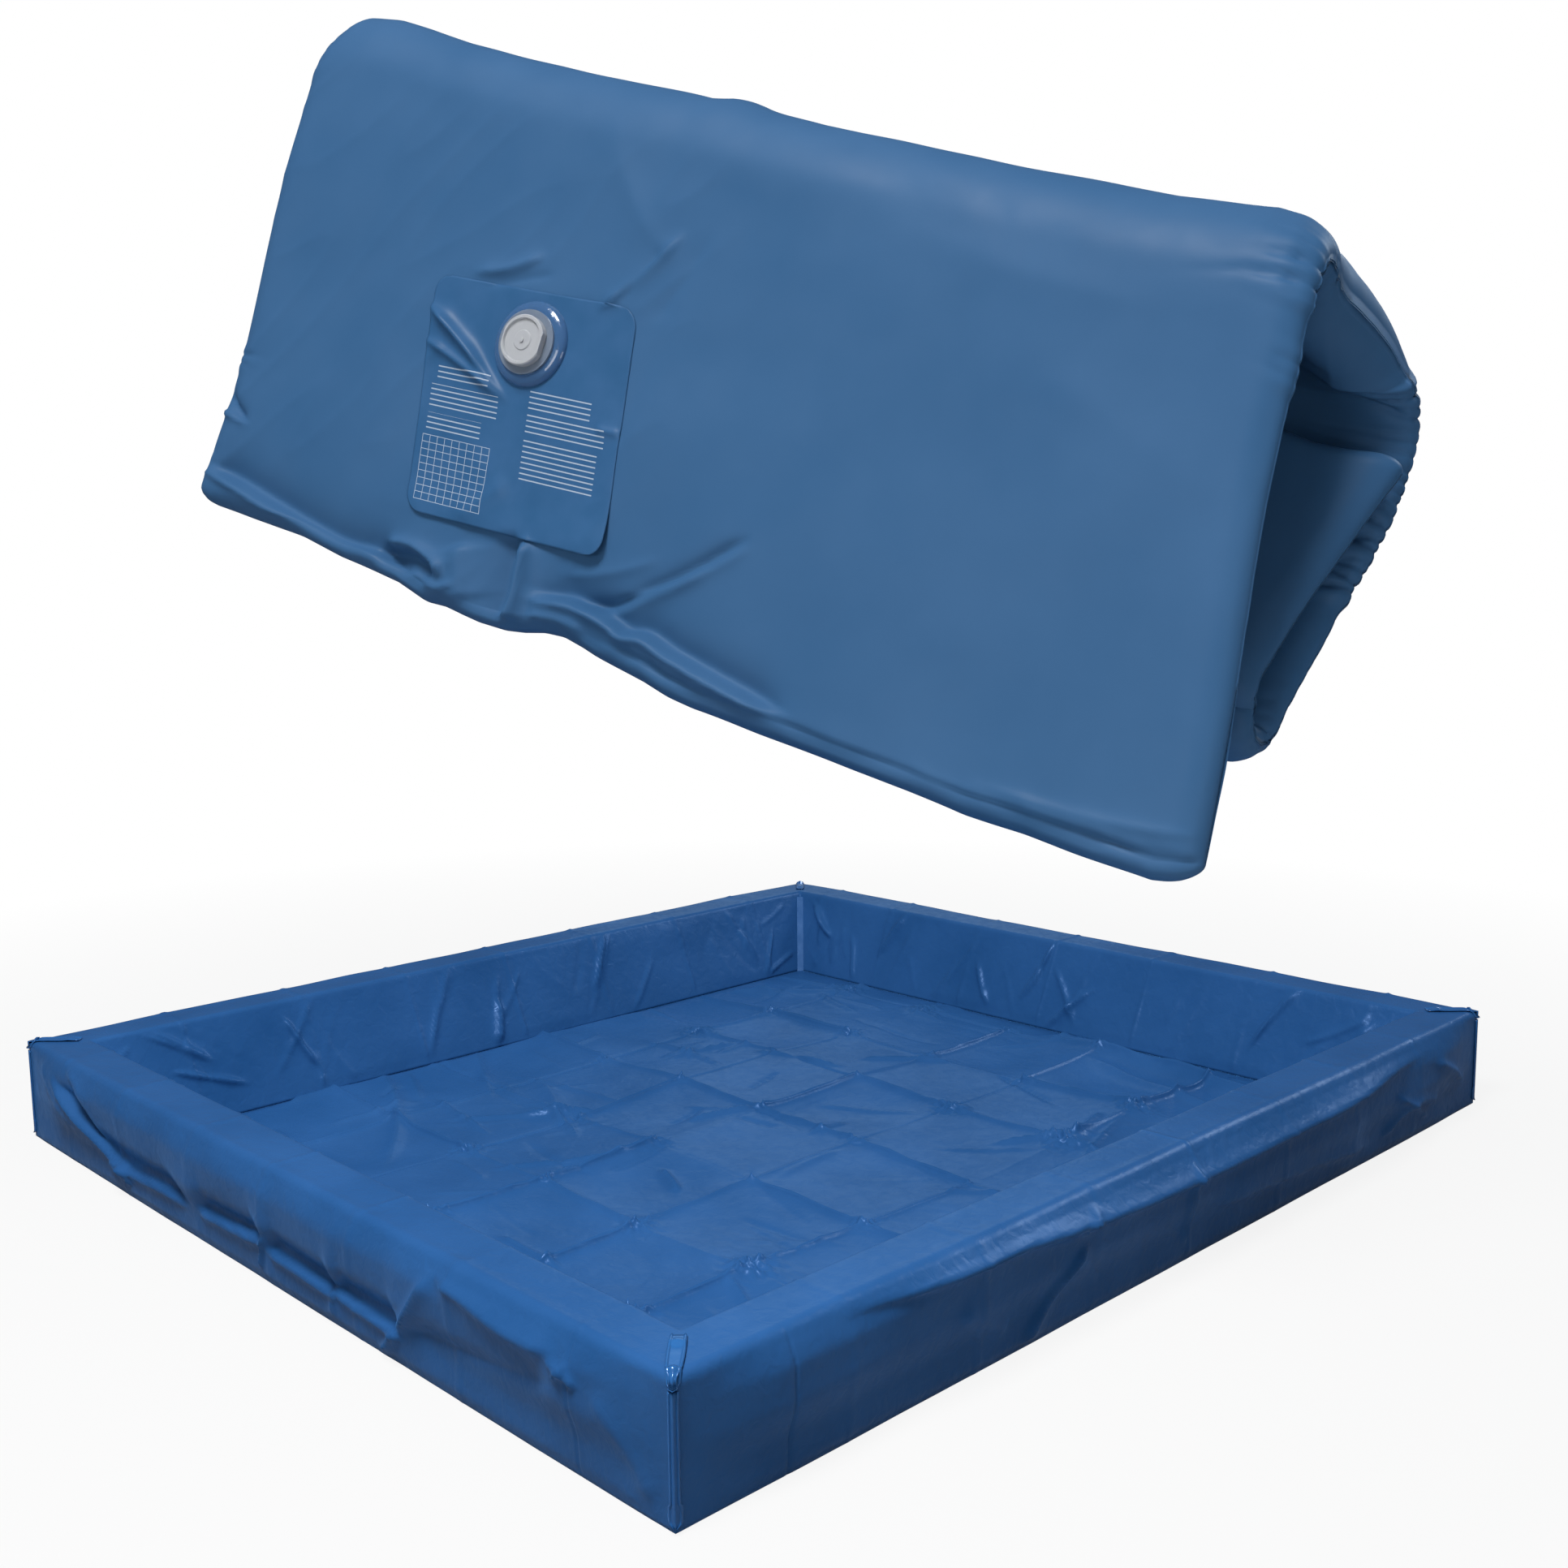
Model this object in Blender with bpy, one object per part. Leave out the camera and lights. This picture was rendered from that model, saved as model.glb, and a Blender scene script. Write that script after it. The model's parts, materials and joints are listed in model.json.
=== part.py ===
"""Softside waterbed: foam tray with a vinyl safety liner, and the folded water core above it.

Metres, +Z up. The tray lies on the floor, centred on the origin, and the folded core
is lifted out of it. Front is -Y and right is +X.
"""

import math

import bmesh
import bpy
import numpy as np
from mathutils import Euler, Matrix, Vector

# Tray: outside sizes of the made-up foam frame
TRAY_WIDTH = 2.0
TRAY_LENGTH = 2.2
TRAY_HEIGHT = 0.2
RAIL_TOP_WIDTH = 0.09
RAIL_BASE_WIDTH = 0.18
RAIL_OUTER_RADIUS = 0.022
RAIL_INNER_RADIUS = 0.012

# Safety liner and its corner welds
LINER_THICKNESS = 0.0016
SKIRT_LIFT = 0.001
CORNER_STRIP_WIDTH = 0.016
CORNER_STRIP_THICKNESS = 0.0012
CORNER_STRIP_FOOT = 0.008
TOP_STRIP_WIDTH = 0.024
TOP_STRIP_SETBACK = 0.012
INNER_WELD_LEG = 0.014

# Clearance kept between pieces that touch, and the overrun of cutting tools
FIT_GAP = 0.0003
CUT_OVERRUN = 0.02

# Water core, folded over a ridge into a tent with its last panel turned back up inside
RIDGE_LENGTH = 1.95
FOLD_HEIGHT_LEFT = 0.98
FOLD_HEIGHT_RIGHT = 0.968
FOLD_DEPTH = 0.47
SLAB_THICKNESS = 0.06
SLAB_EDGE_ROUNDING = 0.05
VINYL_WALL = 0.005
TURN_RADIUS = 0.034
RIDGE_TILT = math.radians(14.82)
PANEL_LEAN = math.radians(-11.49)
CORE_TURN = math.radians(16.51)
CORE_TOP_HEIGHT = 1.8652
CORE_OFFSET_RIGHT = 0.3745
CORE_OFFSET_FRONT = 0.341
RIDGE_RISE_LEFT = 0.1
RIDGE_RISE_RIGHT = 0.012
RIGHT_EDGE_FLARE = 0.13

# Centreline of the folded slab, as shares of the fold's depth and height
FRONT_TO_BACK_SHARES = (
    (0.064, 0.965), (0.064, 0.74), (0.064, 0.44), (0.066, 0.19), (0.085, 0.105), (0.16, 0.05),
    (0.30, 0.036), (0.50, 0.04), (0.70, 0.062), (0.85, 0.11), (0.925, 0.20), (0.92, 0.34),
    (0.86, 0.48), (0.76, 0.62), (0.65, 0.735),
)
TURNED_UP_SHARES = ((0.485, 0.665), (0.60, 0.54), (0.70, 0.41), (0.755, 0.30))

# Label patch on the front panel, measured from the panel's top centre
PATCH_WIDTH = 0.432
PATCH_HEIGHT = 0.415
PATCH_CORNER_RADIUS = 0.035
PATCH_THICKNESS = 0.0012
PATCH_SHIFT_LEFT = 0.285
PATCH_DROP = 0.559
PATCH_LEAN = math.radians(11.0)
PATCH_TURN = math.radians(2.4)

# Filling valve
VALVE_SHIFT_LEFT = 0.3
VALVE_DROP = 0.442
FLANGE_RADIUS = 0.075
FLANGE_HEIGHT = 0.013
NECK_BORE_RADIUS = 0.029
NECK_WALL = 0.006
NECK_LIP_RADIUS = 0.056
NECK_LIP_THICKNESS = 0.004
PLUG_HEAD_RADIUS = 0.034
PLUG_HEAD_THICKNESS = 0.003
CAP_RADIUS = 0.044
CAP_HEIGHT = 0.013
CAP_RIM_WIDTH = 0.006
CAP_RECESS_DEPTH = 0.004
CAP_CENTRE_RADIUS = 0.018
CAP_NUB_RADIUS = 0.004
CAP_FLAT_DEPTH = 0.004

# Facets of round shapes
ROUND_SEGMENTS = 40
EDGE_STEPS = 4
CORNER_STEPS = 6
SLAB_POINTS = 30
SLAB_STATIONS = 13
HOLLOW_STATIONS = 5

BLUE_LINER = (0.030, 0.112, 0.340)
BLUE_CORE = (0.050, 0.142, 0.320)
BLUE_PATCH = (0.040, 0.120, 0.290)
CLEAR_BLUE = (0.030, 0.110, 0.330)
CLEAR_PLASTIC = (0.380, 0.420, 0.460)
WHITE_PLASTIC = (0.520, 0.540, 0.560)
FOAM_GREY = (0.550, 0.550, 0.530)
FLEECE_WHITE = (0.750, 0.750, 0.730)


def clear_scene():
    """Remove every object of the open scene."""
    for existing in list(bpy.data.objects):
        bpy.data.objects.remove(existing, do_unlink=True)


def make_material(name, color, roughness):
    """Return a plain Principled material.

    Args:
        name: Material name.
        color: Linear red, green and blue.
        roughness: Surface roughness from 0 to 1.

    Returns:
        The new material.
    """
    material = bpy.data.materials.new(name)
    material.use_nodes = True
    shader = material.node_tree.nodes["Principled BSDF"]
    shader.inputs["Base Color"].default_value = (*color, 1.0)
    shader.inputs["Roughness"].default_value = roughness
    shader.inputs["Metallic"].default_value = 0.0
    material.diffuse_color = (*color, 1.0)
    return material


def add_object(name, points, faces, material, parent=None):
    """Add a closed mesh object with its faces pointing out.

    Args:
        name: Object name.
        points: Vertex positions in the parent's frame.
        faces: Tuples of vertex indices.
        material: Material of the whole object.
        parent: Optional empty that carries the object.

    Returns:
        The new object.
    """
    mesh = bpy.data.meshes.new(name)
    mesh.from_pydata([tuple(p) for p in points], [], faces)
    shape = bmesh.new()
    shape.from_mesh(mesh)
    bmesh.ops.recalc_face_normals(shape, faces=shape.faces)
    if shape.calc_volume(signed=True) < 0:
        bmesh.ops.reverse_faces(shape, faces=shape.faces)
    shape.to_mesh(mesh)
    shape.free()
    mesh.materials.append(material)
    obj = bpy.data.objects.new(name, mesh)
    bpy.context.scene.collection.objects.link(obj)
    obj.parent = parent
    return obj


def smooth(obj, angle=math.radians(35)):
    """Shade an object smooth except across edges sharper than the angle."""
    obj.data.shade_smooth()
    obj.data.set_sharp_from_angle(angle=angle)


def prism(rings):
    """Return points and faces of a solid that joins matching rings in order.

    Args:
        rings: List of rings, each a list of positions of equal count.

    Returns:
        The points and the faces, with both ends capped.
    """
    count = len(rings[0])
    points = [p for ring in rings for p in ring]
    faces = []
    for level in range(len(rings) - 1):
        low = level * count
        high = low + count
        for k in range(count):
            after = (k + 1) % count
            faces.append((low + k, low + after, high + after, high + k))
    faces.append(tuple(range(count)))
    faces.append(tuple(range((len(rings) - 1) * count, len(rings) * count)))
    return points, faces


def wall_slope():
    """Return the inward run of the rail's inner face for each metre of height."""
    return (RAIL_BASE_WIDTH - RAIL_TOP_WIDTH) / TRAY_HEIGHT


def inner_face_inset(height, offset=0.0):
    """Return how far in from the tray's side its inner face is at a height.

    Args:
        height: Height above the floor.
        offset: Distance into the rail, measured square to the inner face.

    Returns:
        The inset from the tray's outside.
    """
    slope = wall_slope()
    return RAIL_BASE_WIDTH - slope * height - offset * math.hypot(1.0, slope)


def rail_outline(offset, foot):
    """Return the open outline of a rail's cover as pairs of inset and height.

    The outline goes up the outer face, over the top and down the inner face.

    Args:
        offset: Distance inside the liner's outer surface.
        foot: Height at which both legs of the outline end.

    Returns:
        The list of pairs.
    """
    top = TRAY_HEIGHT - offset
    outer_radius = RAIL_OUTER_RADIUS - offset
    inner_radius = RAIL_INNER_RADIUS - offset
    lean = math.atan(wall_slope())
    outline = [(offset, foot)]
    for step in range(EDGE_STEPS + 1):
        angle = math.pi * 0.5 * step / EDGE_STEPS
        outline.append((
            RAIL_OUTER_RADIUS - outer_radius * math.cos(angle),
            TRAY_HEIGHT - RAIL_OUTER_RADIUS + outer_radius * math.sin(angle),
        ))
    turn = math.pi * 0.5 - lean
    setback = inner_radius * math.tan(turn * 0.5)
    corner = inner_face_inset(top, offset)
    for step in range(EDGE_STEPS + 1):
        angle = turn * step / EDGE_STEPS
        outline.append((
            corner - setback + inner_radius * math.sin(angle),
            top - inner_radius + inner_radius * math.cos(angle),
        ))
    outline.append((inner_face_inset(foot, offset), foot))
    return outline


def side_frames():
    """Return name, turn, half run and face distance of the tray's four sides."""
    half_width = TRAY_WIDTH * 0.5
    half_length = TRAY_LENGTH * 0.5
    return (
        ("front", 0.0, half_width, half_length),
        ("right", math.pi * 0.5, half_length, half_width),
        ("back", math.pi, half_width, half_length),
        ("left", math.pi * 1.5, half_length, half_width),
    )


def mitred_bar(section, half_run, face_distance, turn):
    """Return a bar along one side of the tray, mitred at both ends.

    Args:
        section: Closed list of inset and height pairs.
        half_run: Half the length of the tray's side.
        face_distance: Distance of that side from the tray's centre.
        turn: Turn of the side about the vertical.

    Returns:
        The bar's points and faces.
    """
    spin = Matrix.Rotation(turn, 3, "Z")
    rings = []
    for sign in (-1.0, 1.0):
        rings.append([
            spin @ Vector((sign * (half_run - inset - FIT_GAP), inset - face_distance, height))
            for inset, height in section
        ])
    return prism(rings)


def build_rails(material):
    """Build the four foam wedge rails."""
    outline = rail_outline(LINER_THICKNESS + FIT_GAP, 0.0)
    for name, turn, half_run, face_distance in side_frames():
        points, faces = mitred_bar(outline, half_run, face_distance, turn)
        smooth(add_object("foam_rail_" + name, points, faces, material))


def build_liner(material):
    """Build the liner's floor sheet and its four side panels."""
    outer = rail_outline(0.0, SKIRT_LIFT)
    inner = rail_outline(LINER_THICKNESS, SKIRT_LIFT)
    section = outer + inner[::-1]
    for name, turn, half_run, face_distance in side_frames():
        points, faces = mitred_bar(section, half_run, face_distance, turn)
        smooth(add_object("liner_side_" + name, points, faces, material))
    reach_x = TRAY_WIDTH * 0.5 - RAIL_BASE_WIDTH - FIT_GAP
    reach_y = TRAY_LENGTH * 0.5 - RAIL_BASE_WIDTH - FIT_GAP
    rings = [
        [(-reach_x, -reach_y, z), (reach_x, -reach_y, z), (reach_x, reach_y, z), (-reach_x, reach_y, z)]
        for z in (0.0, LINER_THICKNESS)
    ]
    points, faces = prism(rings)
    add_object("liner_floor", points, faces, material)


def corner_frames():
    """Return name and the outward signs of the tray's four corners."""
    return (
        ("front_right", 1.0, -1.0),
        ("back_right", 1.0, 1.0),
        ("back_left", -1.0, 1.0),
        ("front_left", -1.0, -1.0),
    )


def build_corner_welds(material):
    """Build the weld strips down each outer corner, over its top and down its inner corner."""
    half = Vector((TRAY_WIDTH * 0.5, TRAY_LENGTH * 0.5, 0.0))
    near = FIT_GAP
    far = FIT_GAP + CORNER_STRIP_THICKNESS
    strip_top = TRAY_HEIGHT - RAIL_OUTER_RADIUS
    for name, sign_x, sign_y in corner_frames():
        angle = (
            (-CORNER_STRIP_WIDTH, near), (near, near), (near, -CORNER_STRIP_WIDTH),
            (far, -CORNER_STRIP_WIDTH), (far, far), (-CORNER_STRIP_WIDTH, far),
        )
        rings = [
            [(sign_x * (half.x + a), sign_y * (half.y + b), z) for a, b in angle]
            for z in (CORNER_STRIP_FOOT, strip_top)
        ]
        points, faces = prism(rings)
        add_object("corner_weld_outer_" + name, points, faces, material)

        inset_start = RAIL_OUTER_RADIUS
        inset_end = RAIL_TOP_WIDTH - RAIL_INNER_RADIUS - TOP_STRIP_SETBACK * 0.5
        side = TOP_STRIP_WIDTH * 0.5 / math.sqrt(2.0)
        rings = []
        for z in (TRAY_HEIGHT + near, TRAY_HEIGHT + far):
            ring = [
                (inset_start + side, inset_start - side), (inset_start - side, inset_start + side),
                (inset_end - side, inset_end + side), (inset_end + side, inset_end - side),
            ]
            rings.append([(sign_x * (half.x - a), sign_y * (half.y - b), z) for a, b in ring])
        points, faces = prism(rings)
        add_object("corner_strip_top_" + name, points, faces, material)

        rings = []
        for z in (LINER_THICKNESS + FIT_GAP, TRAY_HEIGHT - RAIL_INNER_RADIUS):
            inset = inner_face_inset(z) + FIT_GAP * math.hypot(1.0, wall_slope())
            leg = inset + INNER_WELD_LEG
            ring = [(inset, inset), (leg, inset), (inset, leg)]
            rings.append([(sign_x * (half.x - a), sign_y * (half.y - b), z) for a, b in ring])
        points, faces = prism(rings)
        add_object("corner_weld_inner_" + name, points, faces, material)


def smooth_run(points, count):
    """Return points spaced evenly along a smooth curve through the given ones.

    Args:
        points: Two-dimensional points to pass through.
        count: Number of points wanted.

    Returns:
        An array of the resampled points.
    """
    knots = np.array(points, dtype=float)
    padded = np.vstack((2 * knots[0] - knots[1], knots, 2 * knots[-1] - knots[-2]))
    dense = []
    for k in range(1, len(padded) - 2):
        p0, p1, p2, p3 = padded[k - 1:k + 3]
        for t in np.linspace(0.0, 1.0, 24, endpoint=False):
            dense.append(0.5 * (
                2 * p1 + (p2 - p0) * t + (2 * p0 - 5 * p1 + 4 * p2 - p3) * t ** 2
                + (3 * p1 - p0 - 3 * p2 + p3) * t ** 3
            ))
    dense.append(padded[-2])
    dense = np.array(dense)
    run = np.concatenate(([0.0], np.cumsum(np.linalg.norm(np.diff(dense, axis=0), axis=1))))
    wanted = np.linspace(0.0, run[-1], count)
    return np.stack([np.interp(wanted, run, dense[:, axis]) for axis in (0, 1)], axis=1)


def fold_centreline():
    """Return the folded slab's centreline as depth and height-share pairs.

    The height is a share, so that it can follow the fold's height at each station.
    """
    height = (FOLD_HEIGHT_LEFT + FOLD_HEIGHT_RIGHT) * 0.5
    first = [(u * FOLD_DEPTH, v * height) for u, v in FRONT_TO_BACK_SHARES]
    last = [(u * FOLD_DEPTH, v * height) for u, v in TURNED_UP_SHARES]
    leave = Vector((first[-1][0] - first[-2][0], first[-1][1] - first[-2][1])).normalized()
    side = Vector((-leave.y, leave.x)) * TURN_RADIUS
    centre = Vector(first[-1]) + side
    start = math.atan2(-side.y, -side.x)
    turn = [
        (centre.x + TURN_RADIUS * math.cos(start + math.pi * step / CORNER_STEPS),
         centre.y + TURN_RADIUS * math.sin(start + math.pi * step / CORNER_STEPS))
        for step in range(1, CORNER_STEPS + 1)
    ]
    run = smooth_run(first + turn + last, SLAB_POINTS)
    run[:, 1] /= height
    return run


def core_top(share):
    """Return how far above the panel's top line the fold starts at a share of the ridge."""
    return RIDGE_RISE_LEFT + (RIDGE_RISE_RIGHT - RIDGE_RISE_LEFT) * share


def slab_station(share, half_thickness, run):
    """Return the closed outline of the folded slab across the ridge at one station.

    Args:
        share: Place along the ridge, 0 at the left end and 1 at the right.
        half_thickness: Half the slab's thickness there.
        run: Centreline from fold_centreline.

    Returns:
        Positions in the core's frame.
    """
    height = FOLD_HEIGHT_LEFT + (FOLD_HEIGHT_RIGHT - FOLD_HEIGHT_LEFT) * share
    line = np.stack((run[:, 0], run[:, 1] * height), axis=1)
    along = np.gradient(line, axis=0)
    along /= np.linalg.norm(along, axis=1)[:, None]
    across = np.stack((-along[:, 1], along[:, 0]), axis=1)
    outer = line - across * half_thickness
    inner = line + across * half_thickness
    tip_start = line[0] - along[0] * half_thickness * 0.6
    tip_end = line[-1] + along[-1] * half_thickness * 0.6
    loop = np.vstack((outer, tip_end, inner[::-1], tip_start))
    flare = RIGHT_EDGE_FLARE * share
    placed = []
    for depth, drop in loop:
        x = (share - 0.5) * RIDGE_LENGTH + flare * drop / FOLD_HEIGHT_RIGHT
        placed.append(Vector((x, depth, core_top(share) - drop)))
    return placed


def end_rounding(distance, half_thickness):
    """Return the half thickness left at a distance from the slab's side edge."""
    reach = min(max(distance / SLAB_EDGE_ROUNDING, 0.0), 1.0)
    return half_thickness * (0.3 + 0.7 * math.sqrt(1.0 - (1.0 - reach) ** 2))


def folded_slab(half_thickness, setback, stations):
    """Return the folded slab as points and faces.

    Args:
        half_thickness: Half the slab's thickness away from its edges.
        setback: Distance by which the slab's ends stay inside the core's ends.
        stations: Number of outlines along the ridge.

    Returns:
        The points and faces.
    """
    run = fold_centreline()
    half = RIDGE_LENGTH * 0.5 - setback
    if stations == SLAB_STATIONS:
        spread = np.linspace(0.0, 1.0, stations)
        places = np.sign(spread - 0.5) * half * (1.0 - (1.0 - np.abs(2.0 * spread - 1.0)) ** 1.8)
    else:
        places = np.linspace(-half, half, stations)
    rings = []
    for place in places:
        thick = half_thickness
        if setback == 0.0:
            thick = end_rounding(half - abs(place), half_thickness)
        rings.append(slab_station(place / RIDGE_LENGTH + 0.5, thick, run))
    count = len(rings[0])
    points, faces = prism(rings)
    faces = faces[:-2]
    last = (len(rings) - 1) * count
    for base in (0, last):
        for k in range(SLAB_POINTS - 1):
            far = 2 * SLAB_POINTS - k
            faces.append((base + k, base + k + 1, base + far - 1, base + far))
        faces.append((base + SLAB_POINTS - 1, base + SLAB_POINTS, base + SLAB_POINTS + 1))
        faces.append((base + 2 * SLAB_POINTS + 1, base, base + 2 * SLAB_POINTS))
    return points, faces


def front_face_depth():
    """Return the depth of the front panel's outer face in the core's frame."""
    return FRONT_TO_BACK_SHARES[0][0] * FOLD_DEPTH - SLAB_THICKNESS * 0.5


def cut(target, cutter):
    """Cut one object with another and keep the cutter as a hidden wire guide."""
    cutter.hide_render = True
    cutter.display_type = "WIRE"
    modifier = target.modifiers.new("cut_" + cutter.name, "BOOLEAN")
    modifier.operation = "DIFFERENCE"
    modifier.solver = "EXACT"
    modifier.object = cutter


def turned(name, profile, material, parent, segments=ROUND_SEGMENTS):
    """Build a solid turned about the parent's own Y axis, which points into the core.

    Args:
        name: Object name.
        profile: Closed list of radius and depth pairs. A zero radius lies on the axis.
        material: Material of the solid.
        parent: Empty on the axis.
        segments: Number of sides.

    Returns:
        The new object.
    """
    points = []
    rows = []
    for radius, depth in profile:
        if radius == 0.0:
            points.append((0.0, depth, 0.0))
            rows.append([len(points) - 1] * segments)
            continue
        row = []
        for k in range(segments):
            angle = 2.0 * math.pi * k / segments
            points.append((radius * math.cos(angle), depth, radius * math.sin(angle)))
            row.append(len(points) - 1)
        rows.append(row)
    faces = []
    for low, high in zip(rows, rows[1:] + rows[:1]):
        for k in range(segments):
            after = (k + 1) % segments
            corners = []
            for corner in (low[k], low[after], high[after], high[k]):
                if corner not in corners:
                    corners.append(corner)
            if len(corners) > 2:
                faces.append(tuple(corners))
    obj = add_object(name, points, faces, material, parent)
    smooth(obj)
    return obj


def build_core(parent, vinyl, fleece):
    """Build the hollow folded bladder and the fleece inside it.

    Args:
        parent: Empty at the core's own frame.
        vinyl: Material of the bladder.
        fleece: Material of the fleece.

    Returns:
        The bladder object.
    """
    half = SLAB_THICKNESS * 0.5
    points, faces = folded_slab(half, 0.0, SLAB_STATIONS)
    bladder = add_object("core_bladder", points, faces, vinyl, parent)
    smooth(bladder)
    setback = SLAB_EDGE_ROUNDING + VINYL_WALL
    points, faces = folded_slab(half - VINYL_WALL, setback, HOLLOW_STATIONS)
    hollow = add_object("core_hollow_guide", points, faces, vinyl, parent)
    cut(bladder, hollow)
    points, faces = folded_slab(half - VINYL_WALL - FIT_GAP, setback + FIT_GAP, HOLLOW_STATIONS)
    smooth(add_object("core_fleece", points, faces, fleece, parent))
    return bladder


def patch_outline():
    """Return the label patch's rounded outline as x and z pairs about its centre."""
    half_x = PATCH_WIDTH * 0.5 - PATCH_CORNER_RADIUS
    half_z = PATCH_HEIGHT * 0.5 - PATCH_CORNER_RADIUS
    outline = []
    for quarter, (sign_x, sign_z) in enumerate(((1, 1), (-1, 1), (-1, -1), (1, -1))):
        for step in range(CORNER_STEPS + 1):
            angle = math.pi * 0.5 * (quarter + step / CORNER_STEPS)
            x = sign_x * half_x + PATCH_CORNER_RADIUS * math.cos(angle)
            z = sign_z * half_z + PATCH_CORNER_RADIUS * math.sin(angle)
            outline.append((x - z * math.tan(PATCH_LEAN), z + x * math.tan(PATCH_TURN)))
    return outline


def build_patch(parent, material, valve_frame):
    """Build the label patch with its hole for the valve's neck.

    Args:
        parent: Empty at the core's own frame.
        material: Material of the patch.
        valve_frame: Empty on the valve's axis.
    """
    back = front_face_depth() - FIT_GAP
    rings = []
    for depth in (back, back - PATCH_THICKNESS):
        rings.append([
            (x - PATCH_SHIFT_LEFT, depth, z - PATCH_DROP) for x, z in patch_outline()
        ])
    points, faces = prism(rings)
    patch = add_object("label_patch", points, faces, material, parent)
    cut(patch, neck_hole_guide("patch_hole_guide", valve_frame, material))


def neck_hole_guide(name, valve_frame, material):
    """Return a cylinder for cutting the neck's clearance hole."""
    radius = NECK_BORE_RADIUS + NECK_WALL + FIT_GAP
    return turned(
        name,
        [(0.0, -CUT_OVERRUN), (radius, -CUT_OVERRUN), (radius, SLAB_THICKNESS * 0.5), (0.0, SLAB_THICKNESS * 0.5)],
        material, valve_frame,
    )


def build_valve(valve_frame, plug_frame, cap_frame, materials):
    """Build the flange, neck, plug and cap of the filling valve.

    Depth 0 is the front panel's outer face, and depths below 0 stand out of it.

    Args:
        valve_frame: Empty on the valve's axis at the panel's face.
        plug_frame: Empty that carries the plug.
        cap_frame: Empty that carries the cap.
        materials: Mapping of finish names to materials.
    """
    neck_radius = NECK_BORE_RADIUS + NECK_WALL
    flange_back = -(2 * FIT_GAP + PATCH_THICKNESS)
    flange_front = flange_back - FLANGE_HEIGHT
    bore = neck_radius + FIT_GAP
    profile = [(bore, flange_back)]
    for step in range(EDGE_STEPS * 2 + 1):
        angle = math.pi * 0.5 * step / (EDGE_STEPS * 2)
        span = FLANGE_RADIUS - NECK_LIP_RADIUS
        profile.append((
            NECK_LIP_RADIUS + span * math.cos(angle),
            flange_back - FLANGE_HEIGHT * math.sin(angle),
        ))
    profile.append((bore, flange_front))
    turned("valve_flange", profile, materials["clear_blue"], valve_frame)

    lip_back = flange_front - FIT_GAP
    lip_front = lip_back - NECK_LIP_THICKNESS
    turned("valve_neck", [
        (NECK_BORE_RADIUS, VINYL_WALL), (neck_radius, VINYL_WALL), (neck_radius, lip_back),
        (NECK_LIP_RADIUS, lip_back), (NECK_LIP_RADIUS, lip_front), (NECK_BORE_RADIUS, lip_front),
    ], materials["clear"], valve_frame)

    plug_radius = NECK_BORE_RADIUS - FIT_GAP
    head_back = lip_front - FIT_GAP
    head_front = head_back - PLUG_HEAD_THICKNESS
    turned("valve_plug", [
        (0.0, VINYL_WALL), (plug_radius, VINYL_WALL), (plug_radius, head_back),
        (PLUG_HEAD_RADIUS, head_back), (PLUG_HEAD_RADIUS, head_front), (0.0, head_front),
    ], materials["white"], plug_frame)

    cap_back = head_back
    cap_front = cap_back - CAP_HEIGHT
    room = PLUG_HEAD_RADIUS + FIT_GAP
    ceiling = head_front - FIT_GAP
    recess = cap_front + CAP_RECESS_DEPTH
    cap = turned("valve_cap", [
        (room, cap_back), (CAP_RADIUS, cap_back), (CAP_RADIUS, cap_front + CAP_RIM_WIDTH * 0.3),
        (CAP_RADIUS - CAP_RIM_WIDTH * 0.3, cap_front), (CAP_RADIUS - CAP_RIM_WIDTH, cap_front),
        (CAP_RADIUS - CAP_RIM_WIDTH * 1.3, recess), (CAP_CENTRE_RADIUS, recess),
        (CAP_CENTRE_RADIUS * 0.9, recess - CAP_RECESS_DEPTH * 0.4),
        (CAP_NUB_RADIUS, recess - CAP_RECESS_DEPTH * 0.4), (CAP_NUB_RADIUS, cap_front),
        (0.0, cap_front), (0.0, ceiling), (room, ceiling),
    ], materials["white"], cap_frame)
    near = CAP_RADIUS - CAP_FLAT_DEPTH
    for side, sign in (("left", -1.0), ("right", 1.0)):
        rings = [
            [(sign * near, y, z) if inner else (sign * (CAP_RADIUS + CUT_OVERRUN), y, z)
             for inner, z in ((True, -CAP_RADIUS), (False, -CAP_RADIUS), (False, CAP_RADIUS), (True, CAP_RADIUS))]
            for y in (cap_back + CUT_OVERRUN * 0.5, cap_front - CUT_OVERRUN)
        ]
        points, faces = prism(rings)
        cut(cap, add_object("cap_flat_guide_" + side, points, faces, materials["white"], cap_frame))


def add_empty(name, location, rotation=(0.0, 0.0, 0.0), parent=None):
    """Add an empty that places other objects."""
    empty = bpy.data.objects.new(name, None)
    bpy.context.scene.collection.objects.link(empty)
    empty.parent = parent
    empty.location = location
    empty.rotation_euler = rotation
    return empty


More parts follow.
